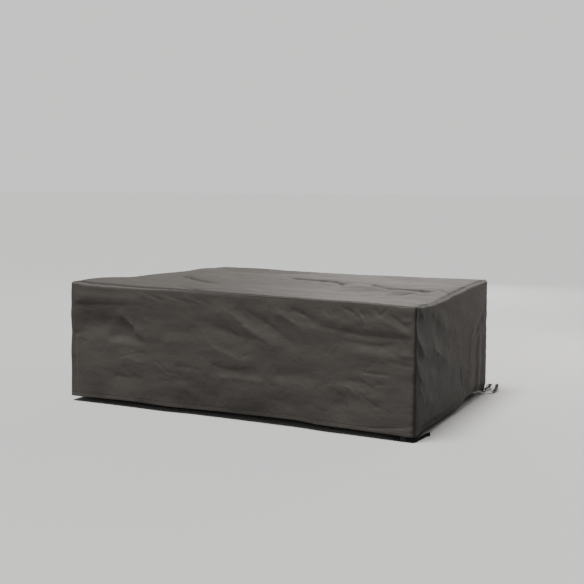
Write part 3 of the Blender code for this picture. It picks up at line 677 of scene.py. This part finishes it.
CREASES["front"] = metres([
    # x, height, to x, to height, half width, first rise, last rise, in mm
    (-1050, 580, -830, 586, 14, -3.5, -2.6),
    (-830, 586, -620, 596, 13, -2.6, -0.9),
    (-1070, 606, -1000, 612, 16, 3, 2),
    (-1070, 405, -980, 415, 16, -3.5, -1.7),
    (-724, 530, -664, 486, 14, 2.2, 3),
    (-664, 486, -624, 436, 14, 3, 2.4),
    (-624, 436, -540, 386, 14, 2.4, 1),
    (-510, 292, -386, 212, 5.5, -1.4, -1.4),
    (-502, 278, -386, 202, 5.5, -1.4, -1),
    (-750, 280, -578, 316, 6, -1.7, -1.7),
    (-706, 280, -586, 250, 7, 1.6, 1.6),
    (-680, 332, -590, 340, 6, -1.4, -1),
    (-770, 160, -640, 162, 16, -3.5, -1.7),
    (-350, 262, -200, 258, 18, -2.7, -2),
    (-380, 170, -290, 188, 18, -2.7, -1.3),
    (-620, 668, -500, 640, 10, 2.6, 1.7),
    (-560, 668, -440, 636, 10, -2.6, -1.7),
    (-470, 668, -350, 636, 11, 2.6, 1.7),
    (-400, 664, -270, 632, 11, -2, -1.3),
    (-300, 666, -180, 634, 11, 2, 1.3),
    (-230, 662, -120, 630, 11, -2, -1.3),
    (-150, 428, -86, 388, 18, 1.4, 1.7),
    (-86, 388, 54, 340, 18, 1.7, 1.4),
    (54, 340, 190, 330, 18, 1.4, 0),
    (-94, 284, 50, 268, 16, -2.7, -2.7),
    (50, 268, 142, 292, 16, -2.7, -1.3),
    (-50, 228, 200, 228, 18, 2, 2),
    (-50, 620, 30, 588, 20, 1, 1.7),
    (30, 588, 110, 524, 18, 1.7, 2.4),
    (110, 524, 270, 440, 18, 2.4, 1.2),
    (90, 622, 230, 562, 18, -1.6, -1.8),
    (230, 562, 390, 460, 18, -1.8, -1),
    (-50, 500, 254, 446, 18, -1.8, -1.4),
    (318, 612, 400, 568, 14, 2, 2.4),
    (400, 568, 450, 545, 14, 2.4, 0.7),
    (404, 634, 460, 616, 12, -2, -2.4),
    (460, 616, 510, 594, 12, -2.4, -1.2),
    (232, 678, 236, 644, 8, -5, -2.5),
    (250, 678, 256, 644, 8, 5, 2.5),
    (510, 568, 630, 552, 14, -1.6, -2),
    (630, 552, 790, 530, 14, -2, -2),
    (790, 530, 910, 526, 14, -2, -2),
    (910, 526, 1080, 526, 14, -2, -2.6),
    (894, 628, 1070, 548, 16, 2.4, 2),
    (974, 636, 1060, 580, 12, -2.7, -2),
    (870, 676, 895, 644, 9, -7, -5.2),
    (930, 676, 905, 644, 9, -7, -5.2),
    (750, 676, 806, 636, 9, -5.2, -3.5),
    (782, 652, 806, 604, 9, 5.2, 3.5),
    (686, 668, 750, 644, 9, -5.2, -3.5),
    (694, 488, 910, 476, 12, -1.4, -2),
    (910, 476, 990, 500, 12, -2, -1),
    (1030, 440, 1085, 442, 12, 2.7, 3.4),
    (1030, 612, 1085, 618, 12, 2, 3.4),
    (966, 394, 1085, 390, 14, -2, -3.4),
    (820, 330, 950, 322, 9, -3.5, -3.5),
    (742, 280, 854, 256, 12, -2, -2),
    (854, 256, 926, 280, 12, -2, -1.3),
    (650, 260, 850, 220, 12, 2, 1.3),
    (750, 244, 894, 148, 10, -2, -1.3),
    (854, 30, 1094, 60, 10, -2, -2.7),
    # Straight creases where it was folded in its packing.
    (-578, 200, -578, 20, 6, -1.5, -1.5),
    (-334, 240, -334, 20, 6, -1.5, -1.5),
    (-170, 240, -170, 150, 6, 1.8, 1.5),
    (226, 360, 226, 50, 6, -1.8, -1.3),
    (366, 150, 366, 80, 6, -1.5, -1.3),
    (494, 190, 494, 100, 6, -1.5, -1.3),
    (726, 220, 726, 40, 6, -1.5, -1.3),
    (942, 290, 942, 150, 6, 1.5, 1.3),
])

FOLDS["right"] = metres([
    # y, height, to y, to height, half width, first rise, last rise, in mm
    (-680, 530, -600, 432, 45, 3, 5),
    (-600, 432, -400, 392, 45, 5, 2),
    (-640, 600, -360, 575, 60, -9, -6),
    (-670, 360, -560, 268, 45, 4, 5),
    (-660, 430, -340, 318, 45, -8, -5),
    (-400, 640, -220, 548, 45, 4, 4),
    (-380, 430, -140, 322, 45, 5, 4),
    (-350, 500, -50, 420, 50, -5, -4),
    (-620, 230, -400, 130, 50, 4, 3),
    (100, 190, 200, 110, 50, -5, -4),
    (310, 110, 300, 400, 40, 4, 3),
    (420, 30, 460, 380, 30, -5, -1),
    (460, 300, 580, 430, 34, -2, -4),
    (490, 20, 520, 360, 30, 6, 3),
    (520, 360, 620, 460, 32, 3, 3),
    (560, 40, 580, 360, 30, -4, -1),
    (650, 50, 650, 330, 36, 5, 4),
    (360, 440, 630, 625, 45, 6, 5),
    (460, 440, 650, 545, 40, -5, -4),
])
CREASES["right"] = metres([
    # y, height, to y, to height, half width, first rise, last rise, in mm
    (-650, 680, -550, 620, 12, 7.5, 4.5),
    (-680, 540, -630, 480, 15, 3.4, 3.6),
    (-630, 480, -570, 425, 15, 3.6, 3),
    (-570, 425, -490, 395, 15, 3, 0.8),
    (-670, 355, -620, 305, 15, 3.4, 3.2),
    (-620, 305, -550, 260, 15, 3.2, 0.8),
    (-640, 260, -560, 165, 13, 2.8, 1.4),
    (-390, 430, -320, 395, 14, 2.6, 3.6),
    (-320, 395, -150, 330, 14, 3.6, 1),
    (-400, 620, -230, 540, 14, 2.8, 1.2),
    (290, 410, 300, 140, 9, -3, -3),
    (330, 410, 335, 140, 9, -3, -3),
    (350, 440, 510, 540, 14, 2.4, 4),
    (510, 540, 620, 630, 14, 4, 2),
    (350, 340, 510, 420, 14, 2, 3.4),
    (510, 420, 650, 480, 14, 3.4, 1.8),
    (130, 240, 210, 50, 10, 3, 3),
    (-650, 20, -550, 40, 10, -4.5, -6),
    (-550, 40, -350, 32, 10, -6, -4.5),
    (-350, 32, -210, 12, 10, -4.5, -1.5),
])
FOLDS["back"] = metres([
    # x, height, to x, to height, half width, first rise, last rise, in mm
    (980, 560, 550, 430, 70, 12, 6),
    (1000, 430, 660, 300, 60, -12, -7),
    (300, 600, 220, 140, 70, -8, -11),
    (120, 560, 80, 100, 70, 8, 11),
    (-250, 610, -550, 470, 60, -11, -8),
    (-750, 600, -980, 330, 65, 14, 10),
    (-860, 640, -1020, 480, 55, -14, -9),
    (-600, 280, -800, 60, 60, -8, -12),
])
CREASES["back"] = metres([
    # x, height, to x, to height, half width, first rise, last rise, in mm
    (920, 530, 600, 440, 14, 4, 1),
    (450, 640, 200, 560, 14, 4, 2),
    (500, 380, 280, 300, 14, -4, -2),
    (-100, 520, -380, 410, 14, 4, 2),
    (-220, 600, -500, 480, 13, -5, -2),
    (-620, 470, -800, 340, 14, 4, 2),
    (0, 300, -260, 240, 14, -4, -2),
    (-420, 230, -600, 120, 14, 4, 2),
    (800, 220, 580, 150, 14, 4, 2),
])
FOLDS["left"] = metres([
    # y, height, to y, to height, half width, first rise, last rise, in mm
    (600, 560, 300, 380, 65, 13, 7),
    (560, 400, 300, 250, 60, -12, -7),
    (0, 560, -60, 120, 65, -7, -12),
    (-220, 520, -260, 100, 65, 7, 11),
    (-460, 520, -560, 525, 40, -6, -1),
])
CREASES["left"] = metres([
    # y, height, to y, to height, half width, first rise, last rise, in mm
    (520, 520, 300, 380, 14, 4, 1),
    (300, 620, 100, 530, 14, -4, -2),
    (-100, 450, -320, 360, 14, 4, 2),
    (-400, 330, -600, 300, 14, -4, -3),
    (100, 230, -100, 160, 14, 3, 2),
])


def skirt_rise(s, height):
    """Folds of each side and, near a corner, of its neighbour."""
    rise = np.zeros(s.shape)
    for name, start, length, way in SIDES:
        along = (s - start + FOLD_REACH) % ROUND_TRIP - FOLD_REACH
        near = along < length + FOLD_REACH
        if near.any():
            place = (along - length / 2) * way
            wander = waves(SKIRT_WANDER, place, height, np.zeros(s.shape))
            own = fold_rise(FOLDS[name], place + wander, height + wander)
            creased = (place + wander, height - wander)
            own += fold_rise(CREASES[name], *creased, sharp_crest, CREASE_OFFSET)
            rise += np.where(near, own, 0.0)
    return rise


def skirt_tone(s, x, y, height, hem, to_top, roll, welt, left_seam):
    """The skirt's tone: painted highlights on its roll, its hem's edge and the left end's seam, and
    painted shade in and beside seams, over the end's front part and near the hem.
    """
    # Painted highlights on the roll and on the hem's edge.
    tone = bell(to_top - roll, *ROLL_PAINTED_HIGHLIGHT) + bell(height - hem, *HEM_PAINTED_HIGHLIGHT)
    # Painted shade in the top seam and along the welt's stitched line.
    tone -= bell(to_top, SEAM_DARK, SEAM_SHADE) + welt / WELT_DEEP * bell(to_top - WELT, *WELT_SHADE)
    # A painted highlight along the left end's seam, round a middle height.
    shown = np.exp(-(((height - HIGHLIGHT_MIDDLE) / HIGHLIGHT_TALL) ** 4))
    tone += shown * bell(left_seam, *FRONT_SEAM_PAINTED_HIGHLIGHT)
    # Painted shade along the right front corner's seam, wider on the end's side.
    from_corner = s - LENGTH
    on_end = from_corner > 0
    tone -= bell(from_corner, np.where(on_end, CORNER_DARK[1], CORNER_DARK[0]), CORNER_SHADE)
    # Painted shade over the end's front part, fading toward the back.
    tone -= on_end * bell(from_corner, *END_SHADE)
    # A wedge of painted shade on the end panel, below its top beside the corner.
    opened = np.clip((PINCH_LOW + PINCH_TALL - height) / PINCH_TALL, 0, 1)
    wide = PINCH_WIDE[0] + (PINCH_WIDE[1] - PINCH_WIDE[0]) * opened
    wedge_shaded = smooth_step((wide - from_corner) / PINCH_SIDE_FADE)
    wedge_shaded *= smooth_step((height - PINCH_LOW + PINCH_SIDE_FADE) / PINCH_END_FADE)
    tone -= PINCH_SHADE * on_end * wedge_shaded
    # Painted shade near the hem, uneven in patches.
    return tone - bell(height - hem, *LOW_SHADE) * (LOW_EVEN + waves(LOW_PATCHES, x, y, height))


def skirt_sheet(s, down):
    """Points of the skirt's outer face, down from 0 at the top seam to 1 at the hem, and their tone of
    painted highlights and painted shade. It rolls over to the top seam, and flares a little toward the
    hem."""
    top, roll = edge_at(TOP_EDGE, 2, s), edge_at(TOP_EDGE, 3, s)
    hem, drawn_in = edge_at(HEM_EDGE, 2, s), edge_at(HEM_EDGE, 3, s)
    angle = np.clip(down / ROLL_SHARE, 0, 1) * pi / 2
    fall = np.clip((down - ROLL_SHARE) / (1 - ROLL_SHARE), 0, 1)
    high = top - roll
    height = np.where(fall > 0, high + (hem - high) * fall, top - roll * (1 - np.cos(angle)))
    to_top = roll * angle + high - np.minimum(high, height)
    x, y, out_x, out_y = on_plan(s, roll * (1 - np.sin(angle)) - FLARE * fall)
    flat = np.zeros(s.shape)

    to_side = np.min([abs(s - start) for _, start, _, _ in SIDES[1:]], axis=0)
    to_corner = np.minimum(to_side, np.minimum(abs(s), abs(s - ROUND_TRIP)))
    left_seam = np.minimum(abs(s - FRONT_SEAM), abs(s - ROUND_TRIP - FRONT_SEAM))
    rise = skirt_rise(s, height) * smooth_step(fall / FOLD_FADE)
    rise *= 1 - bell(to_corner, *CORNER_STIFF)
    rise -= drawn_in * np.clip(1 - (height - hem) / DRAWN_TALL, 0, 1)
    level = (x * WAVES_LEVEL, y * WAVES_LEVEL)
    rise += smooth_step(to_top / TOP_FADE) * waves(SKIRT_WAVES, *level, height)
    rise += seam_rise(to_top, x, y, flat, seam_depth(x, y))
    welt = WELT_DEEP * edge_at(WELT_SHOWS, 2, s)
    rise -= bell(to_top - WELT, WELT_WIDE, welt)
    rise += seam_rise(to_side, x, y, height)
    rise += FRONT_SEAM_GROOVE * seam_rise(left_seam, x, y, height)
    rise += HEM_GROOVE * seam_rise(abs(height - hem - HEM_STITCHED), x, y, flat)

    outward = rise * np.sin(angle)
    points = np.stack([x + outward * out_x, y + outward * out_y, height], axis=-1)
    points[..., 2] += rise * np.cos(angle) - ORIGIN_HEIGHT
    return points, skirt_tone(s, x, y, height, hem, to_top, roll, welt, left_seam)


CREASES["front"] += crumples(150, 1, (-1.05, 1.06, 0.05, 0.66), -0.25)
CREASES["front"] += crumples(60, 8, (-0.70, 0.90, 0.03, 0.34), 0.2)
CREASES["front"] += crumples(46, 12, (0.52, 1.06, 0.625, 0.670), -0.8)
CREASES["front"] += crumples(24, 14, (0.70, 0.95, 0.10, 0.34), -0.6)
skirt_down = spread([(0.0, 6), (0.008, 8), (ROLL_SHARE, 84), (0.945, 13), (0.975, 6), (1.0, 0)])
front_across = edge_spread(FRONT_SEAM, LENGTH, 380)
front = cloth_panel("front_cloth", front_across, skirt_down, skirt_sheet)
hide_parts("front_panel")

# --------------------
# The right end panel: the short side in view. Folds spread down from its front corner, and near
# the back they hang straight, where the strap draws the hem in.
CREASES["right"] += crumples(70, 2, (-0.62, 0.30, 0.04, 0.64), -0.25)
right_across = edge_spread(LENGTH, LENGTH + DEPTH, 240)
right = cloth_panel("right_end_cloth", right_across, skirt_down, skirt_sheet)
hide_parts("right_end_panel")

# --------------------
# The back panel, which is hidden and hangs more plainly: the other long side, cut as the front.
CREASES["back"] += crumples(70, 3, (-1.04, 1.04, 0.05, 0.64), -0.3)
plain_down = spread([(0.0, 6), (0.008, 7), (ROLL_SHARE, 62), (0.945, 10), (0.975, 5), (1.0, 0)])
back_across = edge_spread(LENGTH + DEPTH, 2 * LENGTH + DEPTH, 220)
back = cloth_panel("back_cloth", back_across, plain_down, skirt_sheet)
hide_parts("back_panel")

# --------------------
# The left end panel, which goes round the front corner to its seam a little way onto the front.
CREASES["left"] += crumples(50, 6, (-0.62, 0.62, 0.05, 0.64), -0.3)
left_across = edge_spread(2 * LENGTH + DEPTH, ROUND_TRIP + FRONT_SEAM, 200)
left = cloth_panel("left_end_cloth", left_across, plain_down, skirt_sheet)
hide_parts("left_end_panel")

# --------------------
# The stitches: one row of lockstitch round the hem and one under the top seam, in brown polyester
# thread that dips into the cloth at both ends of each stitch.
STITCH_LONG, STITCH_STEP, STITCH_THICK, STITCH_SIDES = 0.0034, 0.0046, 0.0006, 6
NEAR_ALONG, NEAR_DOWN = 0.001, 0.002
STITCH_RINGS = [
    # share of the stitch, thickness, height above the cloth
    (0.00, 0.45, -0.35),
    (0.20, 0.90, 0.20),
    (0.50, 1.00, 0.45),
    (0.80, 0.90, 0.20),
    (1.00, 0.45, -0.35),
]


def hem_line(s):
    """How far down the skirt the hem's row of stitches lies."""
    high = edge_at(TOP_EDGE, 2, s) - edge_at(TOP_EDGE, 3, s)
    hem = edge_at(HEM_EDGE, 2, s)
    return ROLL_SHARE + (1 - ROLL_SHARE) * (high - hem - HEM_STITCHED) / (high - hem)


def welt_line(s):
    """How far down the skirt the row of stitches under the top seam lies."""
    return ROLL_SHARE * np.clip(WELT / (edge_at(TOP_EDGE, 3, s) * pi / 2), 0, 1)


def join_rings(mesh, rings):
    """Smooth faces from ring to ring, and a flat one at each end. Gives the faces of each step."""
    steps = []
    for one, two in zip(rings, rings[1:], strict=False):
        around = list(zip(one, one[1:] + one[:1], two[1:] + two[:1], two, strict=True))
        steps.append([mesh.faces.new(corners) for corners in around])
        for face in steps[-1]:
            face.smooth = True
    mesh.faces.new(rings[0])
    mesh.faces.new(rings[-1])
    return steps


def stitch_row(name, line):
    """A row of stitches round the whole skirt, on the outer face of its cloth."""
    starts = np.arange(0.0, ROUND_TRIP, STITCH_STEP)
    rings = []
    for share, thick, up in STITCH_RINGS:
        s = (starts + share * STITCH_LONG) % ROUND_TRIP
        down = line(s)
        here, _ = skirt_sheet(s, down)
        along = skirt_sheet(s + NEAR_ALONG, down)[0] - skirt_sheet(s - NEAR_ALONG, down)[0]
        across = skirt_sheet(s, down + NEAR_DOWN)[0] - skirt_sheet(s, down - NEAR_DOWN)[0]
        across /= np.linalg.norm(across, axis=-1, keepdims=True)
        outward = np.cross(along, across)
        outward /= -np.linalg.norm(outward, axis=-1, keepdims=True)
        for turn in np.linspace(0, 2 * pi, STITCH_SIDES, endpoint=False):
            side = np.cos(turn) * across + np.sin(turn) * outward
            rings.append(here + STITCH_THICK * up * outward + STITCH_THICK / 2 * thick * side)
    rings = np.array(rings).reshape(len(STITCH_RINGS), STITCH_SIDES, len(starts), 3)
    threads = bmesh.new()
    for number in range(len(starts)):
        join_rings(threads, [[threads.verts.new(place) for place in ring[:, number]] for ring in rings])
    bmesh.ops.recalc_face_normals(threads, faces=list(threads.faces))
    row = mesh_piece(name, threads, "brown_thread")
    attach(row, "root")


def brown_thread():
    """Spun polyester thread: fine fibres, uneven in tone and slightly glossy."""
    tree, shader = new_finish("brown_thread")
    place = output_of(tree, "TexCoord", "Object", {})
    fibres = patches(tree, place, 2600.0, 3.0)
    colour = mixed(tree, fibres, (0.034, 0.030, 0.026, 1), (0.060, 0.053, 0.046, 1))
    ridges = bumped(tree, 0.5, 0.0001, fibres)
    set_inputs(tree, shader, {"Base Color": colour, "Roughness": 0.5, "Normal": ridges})


brown_thread()
stitch_row("hem_stitches", hem_line)
stitch_row("top_seam_stitches", welt_line)

# --------------------
# The front right corner's strap: 20 mm black webbing on edge in two halves, each sewn behind a hem
# and looped through its end of the side release buckle. The buckle is moulded in black plastic.
WEBBING_WIDE, WEBBING_THICK, WEBBING_RIB = 0.020, 0.0014, 0.0017
SEWN_GAP = 0.0006
STEP_ALONG = 0.0020
WEBBING_LOOKS = 12
# Half of the webbing's outline, as shares of half its width and of half its thickness.
WEBBING_OUTLINE = [(-1.0, 0.0), (-0.96, -0.75), (-0.86, -1.0), (-0.5, -1.0)]
WEBBING_OUTLINE += [(0.0, -1.0), (0.5, -1.0), (0.86, -1.0), (0.96, -0.75)]
FIXED_HALF_SEWN = metres([
    # x, y to look outwards from, height, in mm
    (975, -660, 2.8),
    (952, -660, 10.3),
    (930, -660, 17.5),
])
FIXED_HALF = metres([
    # x, y, height, in mm
    (998, -703.5, -4.7),
    (1012, -701, -9.5),
    (1019, -699.8, -11.3),
    (1021.8, -699.8, -11.5),
    (1023.7, -700.6, -11.5),
    (1024.5, -702.5, -11.5),
    (1023.7, -704.4, -11.5),
    (1021.8, -705.2, -11.5),
    (1012, -705.2, -9.2),
    (1000, -705.3, -5.3),
])
ADJUSTING_HALF_SEWN = metres([
    # x to look outwards from, y, height, in mm
    (1050, -525, 13),
    (1050, -550, 9),
    (1050, -575, 4),
])
ADJUSTING_HALF = metres([
    # x, y, height, in mm
    (1092.5, -605, -5),
    (1094, -640, -12),
    (1097.5, -672, -15.5),
    (1098, -686, -16),
    (1095.2, -695.5, -16),
    (1088, -699.3, -15.5),
    (1077, -699.8, -13.5),
    (1068, -699.8, -11.8),
    (1065.2, -699.8, -11.5),
    (1063.3, -700.6, -11.5),
    (1062.5, -702.5, -11.5),
    (1063.3, -704.4, -11.5),
    (1065.2, -705.2, -11.5),
    (1068, -705.2, -11.8),
    (1077, -705.2, -13.2),
    (1092, -705, -15.5),
    (1100.3, -701.8, -16.5),
    (1104.5, -693.5, -17),
    (1106.5, -675, -17),
    (1110, -636, -17),
    (1116, -588, -17),
    (1122, -545, -16.5),
    (1134, -528, -16),
])


def black_webbing():
    """Polypropylene webbing, with ribs across it, thread by thread."""
    tree, shader = new_finish("black_webbing")
    pattern = output_of(tree, "UVMap", "UV", {}, uv_map="webbing")
    weave = woven("webbing_weave", 0.31 / WEBBING_RIB, 0.62 / WEBBING_RIB)
    weave = output_of(tree, "Group", "Height", {"Pattern": pattern}, node_tree=weave)
    colour = mixed(tree, weave, (0.006, 0.006, 0.007, 1), (0.026, 0.026, 0.028, 1))
    rough = eased(tree, weave.node.outputs["Threads"], 0.78, 0.52)
    ribs = bumped(tree, 0.8, 0.0005, weave)
    set_inputs(tree, shader, {"Base Color": colour, "Roughness": rough, "Normal": ribs})
    set_inputs(tree, shader, {"Specular IOR Level": 0.2})


def black_plastic():
    """Moulded plastic: fine spark grain, and a little paler where it is handled."""
    tree, shader = new_finish("black_plastic")
    place = output_of(tree, "TexCoord", "Object", {})
    grain, worn = patches(tree, place, 1400.0, 3.0), patches(tree, place, 90.0, 5.0)
    colour = mixed(tree, worn, (0.008, 0.008, 0.009, 1), (0.022, 0.022, 0.023, 1))
    rough, pitted = eased(tree, worn, 0.32, 0.50), bumped(tree, 0.35, 0.0002, grain)
    set_inputs(tree, shader, {"Base Color": colour, "Roughness": rough, "Normal": pitted})


def on_edge(row):
    """Low and high edges of a strap that stands on edge."""
    middle = Vector(row) - Vector((0, 0, ORIGIN_HEIGHT))
    half = Vector((0, 0, WEBBING_WIDE / 2))
    return middle - half, middle + half


def behind_hem(panel, outwards, edges, rows):
    """Sections of a strap moved outwards until the strap all but meets the cloth's inside."""
    data, outwards = panel.data, Vector(outwards)
    surface = BVHTree.FromPolygons([v.co for v in data.vertices], [p.vertices for p in data.polygons])
    sections = []
    for low, high in (edges(row) for row in rows):
        places = [low.lerp(high, k / WEBBING_LOOKS) for k in range(WEBBING_LOOKS + 1)]
        hits = [surface.ray_cast(place, outwards) for place in places]
        free = min(distance for _, _, _, distance in hits if distance is not None)
        moved = (free - CLOTH_THICK - SEWN_GAP - WEBBING_THICK / 2) * outwards
        sections.append((low + moved, high + moved))
    return sections


def smooth_between(before, here, there, after, share):
    """A point of a smooth curve between here and there."""
    slope_here, slope_there = (there - before) / 2, (after - here) / 2
    a = 2 * here - 2 * there + slope_here + slope_there
    b = 3 * there - 3 * here - 2 * slope_here - slope_there
    return ((a * share + b) * share + slope_here) * share + here


def webbing(name, sections):
    """Webbing through a row of sections, its faces flat and its selvedges round."""
    finer = []
    for k in range(len(sections) - 1):
        around = [sections[min(max(k + step, 0), len(sections) - 1)] for step in (-1, 0, 1, 2)]
        here, there = sections[k], sections[k + 1]
        length = ((there[0] + there[1] - here[0] - here[1]) / 2).length
        steps = max(2, round(length / STEP_ALONG))
        for step in range(steps):
            edges = [smooth_between(*(row[side] for row in around), step / steps) for side in (0, 1)]
            finer.append(edges)
    finer.append(list(sections[-1]))
    outline = WEBBING_OUTLINE + [(-across, -up) for across, up in WEBBING_OUTLINE]
    mesh = bmesh.new()
    pattern = mesh.loops.layers.uv.new("webbing")
    rings, along = [], [0.0]
    for k, (low, high) in enumerate(finer):
        before, after = finer[max(k - 1, 0)], finer[min(k + 1, len(finer) - 1)]
        heading = after[0] + after[1] - before[0] - before[1]
        up = heading.cross(high - low).normalized() * WEBBING_THICK / 2
        middle, half = (low + high) / 2, (high - low) / 2
        rings.append([mesh.verts.new(middle + across * half + rise * up) for across, rise in outline])
        if k:
            along.append(along[-1] + (middle - (before[0] + before[1]) / 2).length)
    across = [share * WEBBING_WIDE / 2 for share, _ in outline + outline[:1]]
    for k, faces in enumerate(join_rings(mesh, rings)):
        for m, face in enumerate(faces):
            places = zip((k, k, k + 1, k + 1), (m, m + 1, m + 1, m), strict=True)
            for loop, (here, side) in zip(face.loops, places, strict=True):
                loop[pattern].uv = (along[here], across[side])
    bmesh.ops.recalc_face_normals(mesh, faces=list(mesh.faces))
    ribbon = mesh_piece(name, mesh, "black_webbing")
    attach(ribbon, "root")
    return ribbon


black_webbing()
black_plastic()
for name in ("buckle_socket", "buckle_plug"):
    bpy.data.objects[name].data.materials.clear()
    bpy.data.objects[name].data.materials.append(bpy.data.materials["black_plastic"])

sewn = behind_hem(front, (0, -1, 0), on_edge, FIXED_HALF_SEWN)
fixed_half = webbing("webbing_front_right_fixed", [on_edge(row) for row in FIXED_HALF] + sewn)
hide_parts("strap_front_right_fixed")
sewn = behind_hem(right, (1, 0, 0), on_edge, ADJUSTING_HALF_SEWN)
adjusting_half = webbing("webbing_front_right_adjusting", sewn + [on_edge(row) for row in ADJUSTING_HALF])
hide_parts("strap_front_right_adjusting")

# --------------------
# The back right corner's two straps hang unbuckled: the same webbing lying flat, one of them after
# a small arch outside the corner. They are sewn behind the hems of the end and of the back.
ARCHED_SEWN = [
    # x to look outwards from, y, height, heading in degrees from +X
    (1.05, 0.675, 0.022, 0),
    (1.05, 0.675, 0.006, 0),
]
ARCHED = [
    # x, y, height, heading
    (1.092, 0.675, -0.009, 0),
    (1.097, 0.675, -0.018, 0),
    (1.1065, 0.675, -0.0195, 0),
    (1.1128, 0.675, -0.011, 0),
    (1.1165, 0.675, 0.006, 0),
    (1.1205, 0.6755, 0.024, 0),
    (1.127, 0.676, 0.0325, 0),
    (1.1335, 0.677, 0.026, 2),
    (1.139, 0.679, 0.010, 8),
    (1.144, 0.683, -0.006, 22),
    (1.150, 0.693, -0.015, 45),
    (1.156, 0.712, -0.018, 70),
    (1.158, 0.740, -0.015, 88),
    (1.154, 0.790, -0.008, 95),
    (1.142, 0.855, 0.002, 101),
]
LYING_SEWN = [
    # x, y to look outwards from, height, heading
    (1.070, 0.66, 0.021, 90),
    (1.070, 0.66, 0.005, 90),
]
LYING = [
    # x, y, height, heading
    (1.070, 0.6955, -0.009, 90),
    (1.070, 0.700, -0.0185, 90),
    (1.071, 0.7125, -0.0205, 88),
    (1.076, 0.728, -0.018, 72),
    (1.090, 0.750, -0.0145, 60),
    (1.101, 0.775, -0.011, 74),
    (1.104, 0.808, -0.0065, 92),
    (1.100, 0.850, 0.000, 96),
]


def lying_flat(row):
    """Side edges of a strap whose width is level and square to its heading."""
    heading = radians(row[3])
    middle = Vector(row[:3]) - Vector((0, 0, ORIGIN_HEIGHT))
    half = WEBBING_WIDE / 2 * Vector((-sin(heading), cos(heading), 0))
    return middle - half, middle + half


sewn = behind_hem(right, (1, 0, 0), lying_flat, ARCHED_SEWN)
arched = webbing("webbing_back_right_arched", sewn + [lying_flat(row) for row in ARCHED])
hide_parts("strap_back_right_arched")
sewn = behind_hem(back, (0, 1, 0), lying_flat, LYING_SEWN)
lying = webbing("webbing_back_right_lying", sewn + [lying_flat(row) for row in LYING])
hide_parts("strap_back_right_lying")
